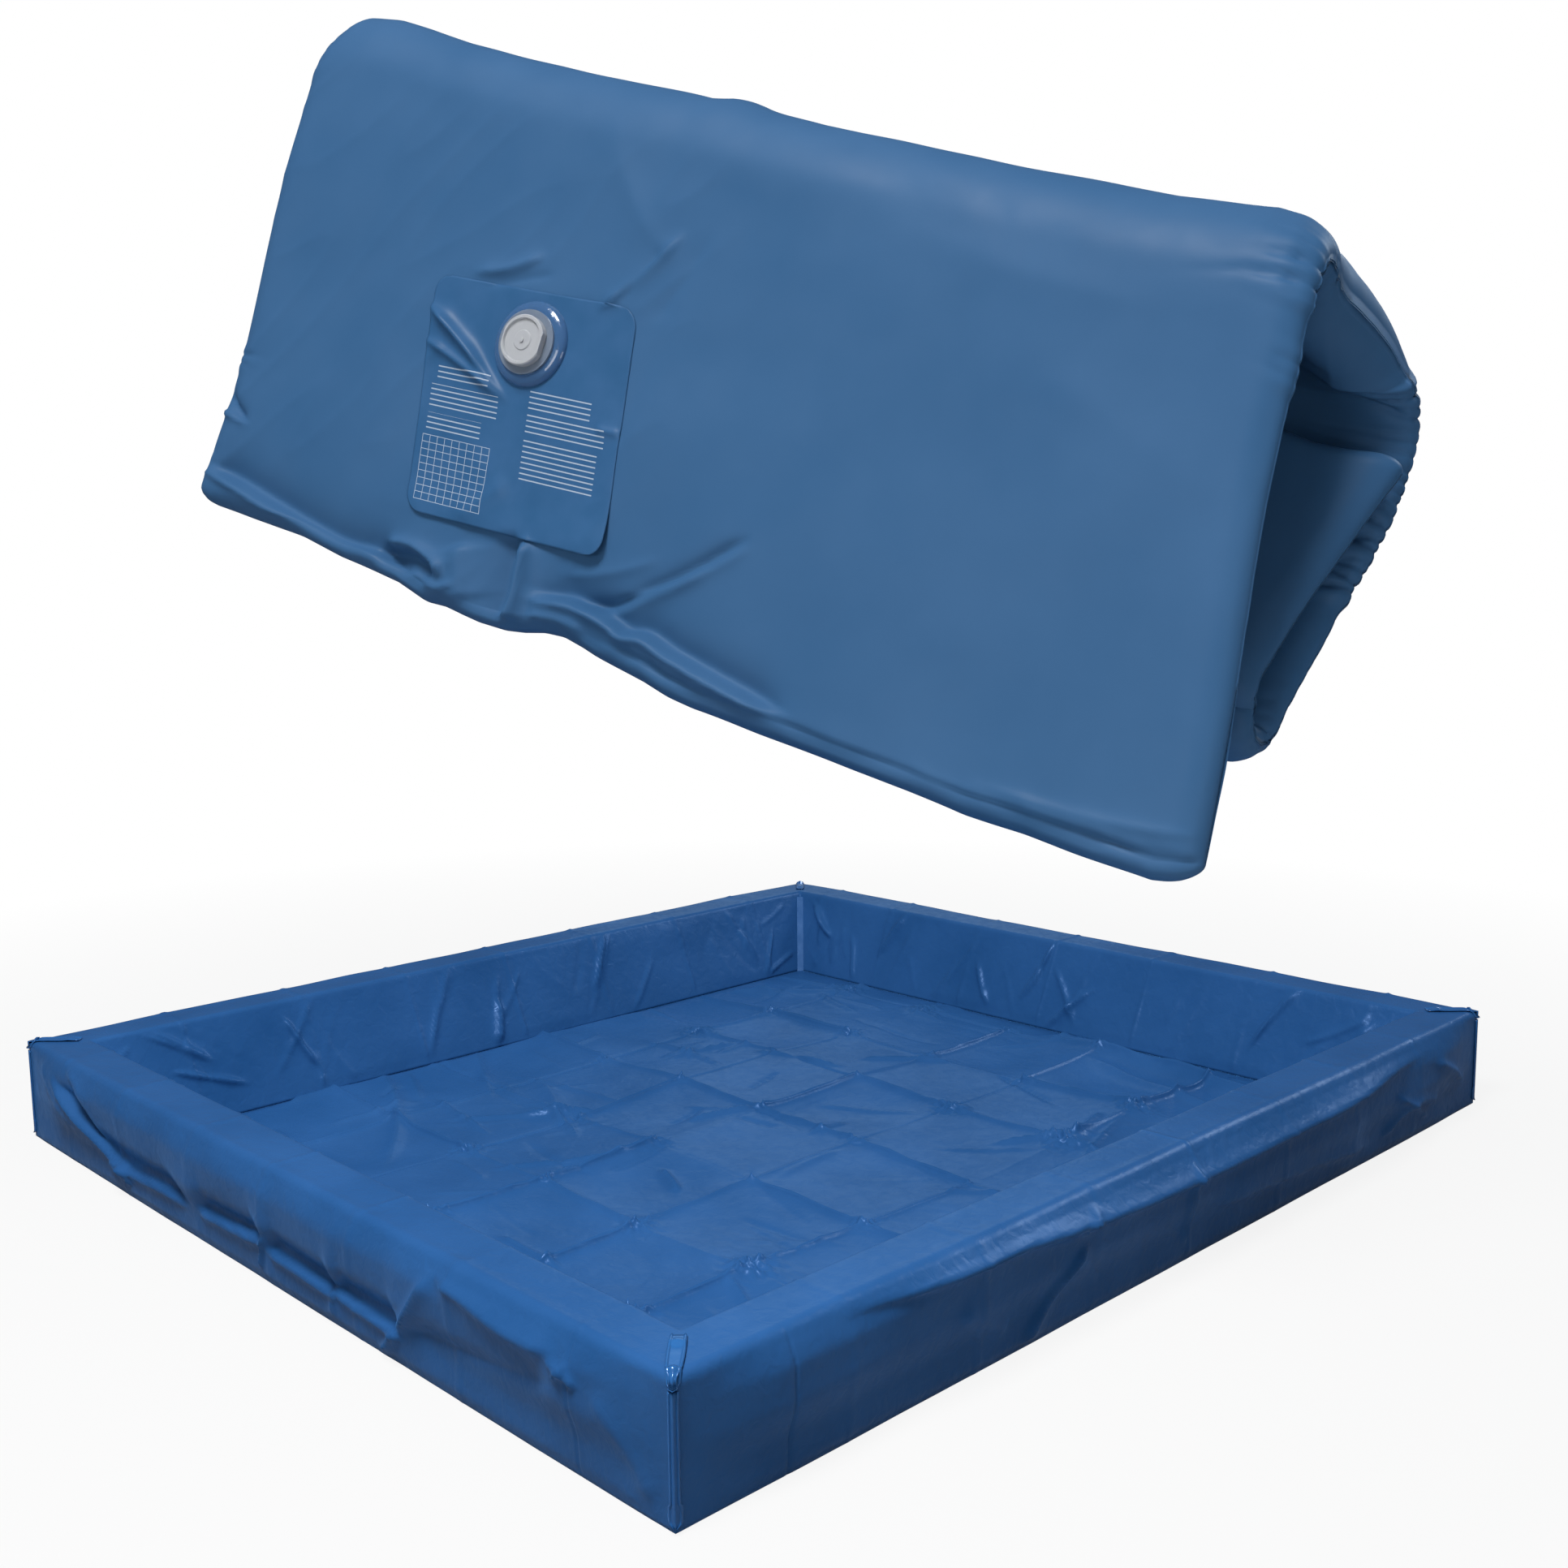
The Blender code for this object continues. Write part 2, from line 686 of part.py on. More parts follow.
def main():
    """Build the tray and the folded core."""
    clear_scene()
    materials = {
        "liner": make_material("liner_vinyl", BLUE_LINER, 0.42),
        "weld": make_material("welded_vinyl", BLUE_LINER, 0.22),
        "core": make_material("core_vinyl", BLUE_CORE, 0.45),
        "patch": make_material("patch_vinyl", BLUE_PATCH, 0.3),
        "clear_blue": make_material("clear_blue_vinyl", CLEAR_BLUE, 0.12),
        "clear": make_material("clear_plastic", CLEAR_PLASTIC, 0.15),
        "white": make_material("white_plastic", WHITE_PLASTIC, 0.3),
        "foam": make_material("grey_foam", FOAM_GREY, 0.95),
        "fleece": make_material("white_fleece", FLEECE_WHITE, 0.95),
    }
    build_rails(materials["foam"])
    build_liner(materials["liner"])
    build_corner_welds(materials["weld"])

    core_frame = add_empty(
        "core_frame",
        (CORE_OFFSET_RIGHT, -CORE_OFFSET_FRONT, CORE_TOP_HEIGHT),
        Euler((PANEL_LEAN, RIDGE_TILT, CORE_TURN)),
    )
    valve_place = (-VALVE_SHIFT_LEFT, front_face_depth(), -VALVE_DROP)
    valve_frame = add_empty("valve_frame", valve_place, parent=core_frame)
    plug_frame = add_empty("plug_frame", valve_place, parent=core_frame)
    cap_frame = add_empty("cap_frame", (0.0, 0.0, 0.0), parent=plug_frame)
    bladder = build_core(core_frame, materials["core"], materials["fleece"])
    cut(bladder, neck_hole_guide("bladder_hole_guide", valve_frame, materials["core"]))
    build_patch(core_frame, materials["patch"], valve_frame)
    build_valve(valve_frame, plug_frame, cap_frame, materials)


main()
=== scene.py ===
"""Looks of a softside waterbed: its foam tray in a blue vinyl liner, and the folded water core above it."""

import json
import logging
import math
from dataclasses import dataclass
from enum import Enum
from typing import Any, Sequence

import bmesh
import bpy
import numpy as np
from mathutils import Euler, Matrix, Vector

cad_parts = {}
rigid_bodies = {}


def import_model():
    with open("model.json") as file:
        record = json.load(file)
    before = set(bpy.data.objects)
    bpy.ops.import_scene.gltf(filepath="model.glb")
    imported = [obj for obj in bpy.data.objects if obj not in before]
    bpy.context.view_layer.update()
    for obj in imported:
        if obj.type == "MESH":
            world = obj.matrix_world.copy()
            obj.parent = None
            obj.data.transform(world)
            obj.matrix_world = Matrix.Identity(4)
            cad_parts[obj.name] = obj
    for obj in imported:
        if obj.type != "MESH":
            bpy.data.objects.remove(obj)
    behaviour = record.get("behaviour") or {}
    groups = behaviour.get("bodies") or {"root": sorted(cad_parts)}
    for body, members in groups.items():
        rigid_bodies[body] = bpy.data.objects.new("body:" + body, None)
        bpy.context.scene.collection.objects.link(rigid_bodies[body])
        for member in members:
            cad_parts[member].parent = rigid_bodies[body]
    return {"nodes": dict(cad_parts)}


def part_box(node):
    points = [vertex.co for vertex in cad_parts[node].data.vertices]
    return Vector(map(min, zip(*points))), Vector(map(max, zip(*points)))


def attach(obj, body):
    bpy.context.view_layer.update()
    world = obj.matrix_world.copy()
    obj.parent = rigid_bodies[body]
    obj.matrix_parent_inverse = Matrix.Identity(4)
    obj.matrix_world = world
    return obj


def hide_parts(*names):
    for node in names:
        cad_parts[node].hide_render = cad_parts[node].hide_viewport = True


LOG = logging.getLogger("waterbed")
MM = 0.001
VINYL_IOR = 1.53
POLYETHYLENE_IOR = 1.51
# Points along a side of the noise's lattice, and what brings its values to about 1
NOISE_LATTICE = 64
NOISE_GAIN = 1.5
# The profile of a fold: how high its flanks reach, and how round its top is
CREST_GAIN = 0.35
CREST_ROUNDING = 0.12
# Steps in which a spacing is summed, and in which a curve is drawn between two of its points
SPACING_STEPS = 4000
CURVE_STEPS = 24
SCATTERED_BOW = 0.12
Array = np.ndarray
Material = bpy.types.Material
Socket = bpy.types.NodeSocket
Tree = bpy.types.NodeTree
Pair = tuple[float, float]
Triple = tuple[float, float, float]
Box = tuple[float, float, float, float]


class Side(Enum):
    """The tray's sides, each with its turn about the vertical in quarter turns."""

    FRONT = 0
    RIGHT = 1
    BACK = 2
    LEFT = 3


# Small helpers for colour, noise and shapes


def srgb(code: str) -> Box:
    """Turn an sRGB hex colour into linear light.

    Args:
        code: Six hex digits with a leading hash.

    Returns:
        Linear red, green and blue, and full opacity.
    """
    values = [int(code[k:k + 2], 16) / 255.0 for k in (1, 3, 5)]
    linear = [v / 12.92 if v <= 0.04045 else ((v + 0.055) / 1.055) ** 2.4 for v in values]
    return (linear[0], linear[1], linear[2], 1.0)


def ease(value: Array, low: float, high: float) -> Array:
    """Return a smooth step of value from 0 at low to 1 at high.

    Args:
        value: Values to step.
        low: Where the step starts.
        high: Where it ends; it may lie below low.

    Returns:
        Values from 0 to 1.
    """
    t = np.clip((value - low) / (high - low), 0.0, 1.0)
    return t * t * (3.0 - 2.0 * t)


def bell(value: Array, height: float, middle: float, width: float) -> Array:
    """Return a bell curve of value.

    Args:
        value: Values to look up.
        height: Height of the bell.
        middle: Where it is highest.
        width: Distance from there at which it has fallen to about a third.

    Returns:
        Heights of the curve.
    """
    return height * np.exp(-((value - middle) / width) ** 2)


def rounded_crest(away: Array) -> Array:
    """Return a fold's profile, with a rounded top and long flanks.

    Args:
        away: Distance from the fold's line, in widths.

    Returns:
        Heights from 0 to about 1.
    """
    return np.exp(CREST_GAIN - np.sqrt(away ** 2 + CREST_ROUNDING))


def noise(x: Array, y: Array, seed: int) -> Array:
    """Return smooth gradient noise with cells of one unit.

    Args:
        x: First coordinate, in cells.
        y: Second coordinate, in cells.
        seed: Seed of the lattice.

    Returns:
        Values from about -1 to 1.
    """
    shape = (NOISE_LATTICE, NOISE_LATTICE)
    angles = np.random.default_rng(seed).uniform(0.0, 2.0 * math.pi, shape)
    cell_x = np.floor(x).astype(int)
    cell_y = np.floor(y).astype(int)
    part_x = x - cell_x
    part_y = y - cell_y

    def corner(step_x: int, step_y: int) -> Array:
        """Return one corner's share of the noise."""
        angle = angles[(cell_x + step_x) % NOISE_LATTICE, (cell_y + step_y) % NOISE_LATTICE]
        return np.cos(angle) * (part_x - step_x) + np.sin(angle) * (part_y - step_y)

    fade_x = part_x ** 3 * (part_x * (part_x * 6 - 15) + 10)
    fade_y = part_y ** 3 * (part_y * (part_y * 6 - 15) + 10)
    low = corner(0, 0) * (1 - fade_x) + corner(1, 0) * fade_x
    high = corner(0, 1) * (1 - fade_x) + corner(1, 1) * fade_x
    return NOISE_GAIN * (low * (1 - fade_y) + high * fade_y)


def ridged(x: Array, y: Array, seed: int, sharp: float = 4.0) -> Array:
    """Return noise turned into thin ridges.

    Args:
        x: First coordinate, in cells.
        y: Second coordinate, in cells.
        seed: Seed of the noise.
        sharp: Power that thins the ridges.

    Returns:
        Values from 0 to 1.
    """
    return np.clip(1.0 - np.abs(noise(x, y, seed)), 0.0, 1.0) ** sharp


@dataclass(frozen=True)
class Ripple:
    """Soft waves over a sheet, from one layer of noise."""

    height: float
    cell_x: float
    cell_y: float
    seed: int
    shift: float = 0.0

    def relief(self, x: Array, y: Array) -> Array:
        """Return the waves' height in metres at each point."""
        return self.height * noise(x / self.cell_x, y / self.cell_y + self.shift, self.seed)


@dataclass(frozen=True)
class Fold:
    """One fold in a sheet, from start to end in the sheet's own metres."""

    start: Pair
    end: Pair
    width: float
    height: float
    bow: float = 0.0

    def relief(self, x: Array, y: Array) -> Array:
        """Return the fold's height at each point.

        Args:
            x: First coordinates.
            y: Second coordinates.

        Returns:
            Heights in metres, signed as the fold's own height.
        """
        run_x = self.end[0] - self.start[0]
        run_y = self.end[1] - self.start[1]
        length = math.hypot(run_x, run_y)
        share = ((x - self.start[0]) * run_x + (y - self.start[1]) * run_y) / length ** 2
        across = ((y - self.start[1]) * run_x - (x - self.start[0]) * run_y) / length
        across = across - self.bow * 4.0 * share * (1.0 - share)
        fade = ease(share, -0.08, 0.22) * ease(share, 1.08, 0.78)
        narrow = self.width * (0.6 + 0.4 * fade)
        return self.height * fade * rounded_crest(across / narrow)


@dataclass(frozen=True)
class Crease:
    """One fold along a line of points, which may be wide on one flank and sharp on the other."""

    points: tuple[Pair, ...]
    width: float
    height: float
    lean: float = 1.0

    def with_crest(self, step: Pair, width: float, height: float) -> tuple["Crease", "Crease"]:
        """Return this crease and a second one, a step away from it and alike on both flanks."""
        beside = tuple((x + step[0], y + step[1]) for x, y in self.points)
        return self, Crease(beside, width, height)

    def relief(self, x: Array, y: Array) -> Array:
        """Return the crease's height at each point.

        Args:
            x: First coordinates.
            y: Second coordinates.

        Returns:
            Heights in metres, with the flank left of the line widened by the lean.
        """
        line = smooth_run(self.points, 6 * len(self.points))
        reach = 7.0 * self.width * max(1.0, self.lean)
        low, high = line.min(axis=0) - reach, line.max(axis=0) + reach
        near = (x > low[0]) & (x < high[0]) & (y > low[1]) & (y < high[1])
        here_x, here_y = x[near], y[near]
        best = np.full(here_x.shape, 1e9)
        place = np.zeros(here_x.shape)
        run = 0.0
        for (from_x, from_y), (to_x, to_y) in zip(line[:-1], line[1:]):
            run_x, run_y = to_x - from_x, to_y - from_y
            length = math.hypot(run_x, run_y)
            share = np.clip(((here_x - from_x) * run_x + (here_y - from_y) * run_y) / length ** 2, 0.0, 1.0)
            side = np.sign((here_y - from_y) * run_x - (here_x - from_x) * run_y)
            away = np.hypot(here_x - from_x - share * run_x, here_y - from_y - share * run_y)
            closer = away < np.abs(best)
            best = np.where(closer, np.where(side >= 0, away, -away), best)
            place = np.where(closer, run + share * length, place)
            run += length
        fade = ease(place, 0.0, 0.18 * run) * ease(place, run, 0.82 * run)
        width = self.width * np.where(best > 0, self.lean, 1.0) * (0.5 + 0.5 * fade)
        height = np.zeros(x.shape)
        height[near] = self.height * fade * rounded_crest(best / width)
        return height


def spaced(marks: Sequence[Pair], length: float) -> Array:
    """Return places from 0 to length with the spacing that the marks ask for.

    Args:
        marks: Rows of place and spacing.
        length: End of the range.

    Returns:
        The places.
    """
    dense = np.linspace(0.0, length, SPACING_STEPS)
    places, gaps = np.array(marks).T
    steps = (dense[1] - dense[0]) / np.interp(dense, places, gaps)[1:]
    count = np.concatenate(([0.0], np.cumsum(steps)))
    return np.interp(np.linspace(0.0, count[-1], int(count[-1]) + 1), count, dense)


def total_relief(parts: Sequence[Fold | Crease | Ripple], x: Array, y: Array) -> Array:
    """Return the summed relief of several folds and waves.

    Args:
        parts: The folds and waves.
        x: First coordinates.
        y: Second coordinates.

    Returns:
        Heights in metres.
    """
    height = np.zeros_like(x)
    for part in parts:
        height += part.relief(x, y)
    return height


def scattered_folds(count: int, seed: int, area: Box, length: Pair, angle: Pair, width: Pair,
                    height: Pair) -> list[Fold]:
    """Return folds strewn over an area.

    Args:
        count: Number of folds.
        seed: Seed of the draws.
        area: Lowest and highest first coordinate, then lowest and highest second one.
        length: Shortest and longest fold.
        angle: Lowest and highest direction in degrees.
        width: Narrowest and widest fold.
        height: Lowest and highest fold.

    Returns:
        The folds.
    """
    draws = np.random.default_rng(seed)
    folds = []
    for _ in range(count):
        turn = math.radians(draws.uniform(*angle))
        half = draws.uniform(*length) * 0.5
        x = draws.uniform(area[0], area[1])
        y = draws.uniform(area[2], area[3])
        run_x, run_y = half * math.cos(turn), half * math.sin(turn)
        folds.append(Fold(
            (x - run_x, y - run_y), (x + run_x, y + run_y), draws.uniform(*width), draws.uniform(*height),
            draws.uniform(-SCATTERED_BOW, SCATTERED_BOW) * half))
    return folds


def mesh_object(name: str, points: Array, faces: list[tuple[int, ...]]) -> bpy.types.Object:
    """Add a smooth-shaded mesh object.

    Args:
        name: Object name.
        points: Positions, one row each.
        faces: Vertex indices of each face.

    Returns:
        The new object.
    """
    mesh = bpy.data.meshes.new(name)
    mesh.from_pydata(np.asarray(points, dtype=float).tolist(), [], faces)
    mesh.update()
    mesh.shade_smooth()
    obj = bpy.data.objects.new(name, mesh)
    bpy.context.scene.collection.objects.link(obj)
    return obj


def add_film(obj: bpy.types.Object, thickness: float, offset: float) -> None:
    """Give a mesh the thickness of its vinyl.

    Args:
        obj: Mesh object of a thin piece.
        thickness: Thickness of the vinyl.
        offset: Side of the mesh on which it lies, from -1 to 1.
    """
    film = obj.modifiers.new("film", "SOLIDIFY")
    film.thickness = thickness
    film.offset = offset


def grid_faces(rows: int, columns: int, wrap: bool = False) -> list[tuple[int, ...]]:
    """Return the quads of a grid of points stored row by row.

    Args:
        rows: Number of rows.
        columns: Number of points in a row.
        wrap: Whether each row closes on itself.

    Returns:
        The quads.
    """
    faces = []
    for row in range(rows - 1):
        low = row * columns
        for k in range(columns if wrap else columns - 1):
            after = (k + 1) % columns
            faces.append((low + k, low + after, low + columns + after, low + columns + k))
    return faces


def smooth_run(points: Sequence[Sequence[float]], count: int) -> Array:
    """Return points spaced evenly along a smooth curve through the given ones.

    Args:
        points: Rows of values to pass through, of which the first two give the distance along the curve.
        count: Number of rows wanted.

    Returns:
        The resampled rows.
    """
    knots = np.array(points, dtype=float)
    padded = np.vstack((2 * knots[0] - knots[1], knots, 2 * knots[-1] - knots[-2]))
    dense = []
    for k in range(1, len(padded) - 2):
        p0, p1, p2, p3 = padded[k - 1:k + 3]
        for t in np.linspace(0.0, 1.0, CURVE_STEPS, endpoint=False):
            dense.append(0.5 * (
                2 * p1 + (p2 - p0) * t + (2 * p0 - 5 * p1 + 4 * p2 - p3) * t ** 2
                + (3 * p1 - p0 - 3 * p2 + p3) * t ** 3
            ))
    dense.append(padded[-2])
    rows = np.array(dense)
    run = np.concatenate(([0.0], np.cumsum(np.linalg.norm(np.diff(rows[:, :2], axis=0), axis=1))))
    wanted = np.linspace(0.0, run[-1], count)
    return np.stack([np.interp(wanted, run, rows[:, k]) for k in range(rows.shape[1])], axis=1)


# Finishes


def add_node(tree: Tree, kind: str, settings: dict[str, Any] | None = None,
             links: dict[str, Socket] | None = None) -> bpy.types.Node:
    """Add one shader node with its settings and links.

    Args:
        tree: Node tree to add to.
        kind: Node type name.
        settings: Values for input sockets by name or by # and number, or for node properties.
        links: Output sockets to link to input sockets by name or by # and number.

    Returns:
        The new node.
    """
    node = tree.nodes.new(kind)
    for name, value in (settings or {}).items():
        if name.startswith("#"):
            node.inputs[int(name[1:])].default_value = value
        elif name in node.inputs:
            node.inputs[name].default_value = value
        else:
            setattr(node, name, value)
    for name, socket in (links or {}).items():
        index = int(name[1:]) if name.startswith("#") else name
        tree.links.new(socket, node.inputs[index])
    return node


def new_surface(name: str) -> tuple[Material, Tree, Socket]:
    """Start a material.

    Args:
        name: Material name.

    Returns:
        The material, its emptied node tree, and a socket with the object's own coordinates.
    """
    material = bpy.data.materials.new(name)
    material.use_nodes = True
    tree = material.node_tree
    tree.nodes.clear()
    return material, tree, add_node(tree, "ShaderNodeTexCoord").outputs["Object"]


def end_surface(tree: Tree, settings: dict[str, Any], links: dict[str, Socket]) -> None:
    """Add the main shader and the material's output.

    Args:
        tree: Node tree to add to.
        settings: Values of the shader's inputs by name.
        links: Sockets to link to its inputs by name.
    """
    shader = add_node(tree, "ShaderNodeBsdfPrincipled", settings, links)
    add_node(tree, "ShaderNodeOutputMaterial", links={"Surface": shader.outputs["BSDF"]})


def add_noise(tree: Tree, place: Socket, size_mm: float, detail: float,
              more: dict[str, Any] | None = None) -> Socket:
    """Add a noise texture.

    Args:
        tree: Node tree to add to.
        place: Socket of the coordinates.
        size_mm: Size of its largest marks.
        detail: Number of finer layers.
        more: Other settings.

    Returns:
        The socket of its values.
    """
    settings = {"Scale": 1.0 / (size_mm * MM), "Detail": detail, **(more or {})}
    return add_node(tree, "ShaderNodeTexNoise", settings, {"Vector": place}).outputs["Fac"]


def add_bump(tree: Tree, height: Socket, strength: float, depth_mm: float, under: Socket | None = None) -> Socket:
    """Add a bump.

    Args:
        tree: Node tree to add to.
        height: Socket of the heights.
        strength: Share of the bump that shows.
        depth_mm: Depth of its deepest marks.
        under: Socket of a bumped normal that lies under this one.

    Returns:
        The socket of the bumped normal.
    """
    links = {"Height": height} if under is None else {"Height": height, "Normal": under}
    settings = {"Strength": strength, "Distance": depth_mm * MM}
    return add_node(tree, "ShaderNodeBump", settings, links).outputs["Normal"]


def add_range(tree: Tree, value: Socket, to: Pair, start: Pair = (0.0, 1.0)) -> Socket:
    """Add a change of range.

    Args:
        tree: Node tree to add to.
        value: Socket of the values.
        to: Lowest and highest result.
        start: Values that give them.

    Returns:
        The socket of the result.
    """
    settings = {"From Min": start[0], "From Max": start[1], "To Min": to[0], "To Max": to[1]}
    return add_node(tree, "ShaderNodeMapRange", settings, {"Value": value}).outputs["Result"]


def add_tones(tree: Tree, factor: Socket, dark: str, light: str, ends: Pair = (0.0, 1.0)) -> Socket:
    """Add a ramp between two colours.

    Args:
        tree: Node tree to add to.
        factor: Socket of the values that choose the colour.
        dark: Colour of the low values.
        light: Colour of the high values.
        ends: Where the ramp starts and ends.

    Returns:
        The socket of the colour.
    """
    ramp = add_node(tree, "ShaderNodeValToRGB", links={"Fac": factor})
    for element, position, code in zip(ramp.color_ramp.elements, ends, (dark, light)):
        element.position = position
        element.color = srgb(code)
    return ramp.outputs["Color"]


def add_math(tree: Tree, operation: str, first: Socket, second: float | Socket | None = None) -> Socket:
    """Add a calculation with one or two values.

    Args:
        tree: Node tree to add to.
        operation: Name of the calculation.
        first: Socket of the first value.
        second: Number or socket of the second value, if there is one.

    Returns:
        The socket of the result.
    """
    settings: dict[str, Any] = {"operation": operation}
    links = {"#0": first}
    if isinstance(second, float):
        settings["#1"] = second
    elif second is not None:
        links["#1"] = second
    return add_node(tree, "ShaderNodeMath", settings, links).outputs[0]


@dataclass(frozen=True)
class SoftVinyl:
    """Calendered soft PVC film with a satin embossed face.

    The fine emboss scatters the highlight into a broad silky sheen, and small creases
    left by packing catch thin pale lines.
    """

    name: str
    dark: str
    light: str
    roughness: float
    gloss: float
    wrinkle_mm: float
    wrinkle_depth_mm: float
    sheen: float
    coat: float = 0.0
    glint: str = "#ffffff"
    sheen_tint: str = "#4a8ad2"
    cloud_mm: float = 220.0
    cloud_ends: Pair = (0.3, 0.7)
    worn_ends: Pair = (0.35, 0.7)
    smoother: float = 0.05
    rougher: float = 0.07
    grain_mm: float = 3.0
    grain_depth_mm: float = 0.1

    def build(self) -> Material:
        """Build the material.

        Returns:
            The material.
        """
        material, tree, place = new_surface(self.name)
        cloud = add_noise(tree, place, self.cloud_mm, 3.0)
        wrinkle = add_noise(tree, place, self.wrinkle_mm, 4.0, {"Roughness": 0.45, "Distortion": 0.6})
        grain = add_noise(tree, place, self.grain_mm, 2.0)
        worn = add_range(
            tree, wrinkle, (self.roughness - self.smoother, self.roughness + self.rougher), self.worn_ends)
        broad = add_bump(tree, wrinkle, 0.7, self.wrinkle_depth_mm)
        fine = add_bump(tree, grain, 0.6, self.grain_depth_mm, broad)
        end_surface(tree, {
            "IOR": VINYL_IOR, "Specular IOR Level": self.gloss, "Specular Tint": srgb(self.glint),
            "Sheen Weight": self.sheen, "Sheen Roughness": 0.35, "Sheen Tint": srgb(self.sheen_tint),
            "Coat Weight": self.coat, "Coat Roughness": 0.2,
        }, {
            "Base Color": add_tones(tree, cloud, self.dark, self.light, self.cloud_ends), "Roughness": worn,
            "Normal": fine,
        })
        return material


@dataclass(frozen=True)
class ClearVinyl:
    """High-frequency welded clear PVC: smooth, wet-looking and partly see-through."""

    name: str
    color: str
    transmission: float
    roughness: float
    ripple_mm: float = 14.0
    ripple_depth_mm: float = 0.5

    def build(self) -> Material:
        """Build the material.

        Returns:
            The material.
        """
        material, tree, place = new_surface(self.name)
        ripple = add_noise(tree, place, self.ripple_mm, 2.0)
        end_surface(tree, {
            "Base Color": srgb(self.color), "IOR": VINYL_IOR, "Transmission Weight": self.transmission,
            "Coat Weight": 0.4, "Coat Roughness": 0.06,
        }, {
            "Normal": add_bump(tree, ripple, 0.5, self.ripple_depth_mm),
            "Roughness": add_range(tree, ripple, (self.roughness * 0.7, self.roughness * 1.4)),
        })
        return material


@dataclass(frozen=True)
class MouldedPolyethylene:
    """Injection-moulded natural polyethylene: milky, soft-edged, with faint flow marks."""

    name: str
    color: str
    transmission: float
    roughness: Pair = (0.26, 0.4)
    flow_mm: float = 9.0
    flow_depth_mm: float = 0.15

    def build(self) -> Material:
        """Build the material.

        Returns:
            The material.
        """
        material, tree, place = new_surface(self.name)
        flow = add_noise(tree, place, self.flow_mm, 3.0)
        end_surface(tree, {
            "Base Color": srgb(self.color), "IOR": POLYETHYLENE_IOR, "Subsurface Weight": 0.35,
            "Subsurface Radius": (6 * MM, 6 * MM, 7 * MM), "Subsurface Scale": 1.0,
            "Transmission Weight": self.transmission,
        }, {
            "Normal": add_bump(tree, flow, 0.4, self.flow_depth_mm),
            "Roughness": add_range(tree, flow, self.roughness),
        })
        return material


@dataclass(frozen=True)
class OpenFoam:
    """Cut polyurethane foam: matt and pitted with open cells, with painted shade in the pits, seen only from
    below.
    """

    name: str
    color: str
    cell_mm: float = 2.0
    cell_depth_mm: float = 0.6
    # The pits' colour is darker than the foam's: painted shade in the open cells.
    pit_shade_color: str = "#8f8f8b"

    def build(self) -> Material:
        """Build the material.

        Returns:
            The material.
        """
        material, tree, place = new_surface(self.name)
        cells = add_node(tree, "ShaderNodeTexVoronoi", {"Scale": 1.0 / (self.cell_mm * MM)}, {"Vector": place})
        depth = cells.outputs["Distance"]
        # Painted shade: the colour darkens to the pits' colour in the middle of each cell, where the bump sinks a
        # pit.
        end_surface(tree, {"Roughness": 0.95}, {
            "Base Color": add_tones(tree, depth, self.pit_shade_color, self.color),
            "Normal": add_bump(tree, depth, 0.8, self.cell_depth_mm),
        })
        return material


def dress(obj: bpy.types.Object, material: Material) -> None:
    """Give an object one material in place of what it has."""
    obj.data.materials.clear()
    obj.data.materials.append(material)


# The tray's liner


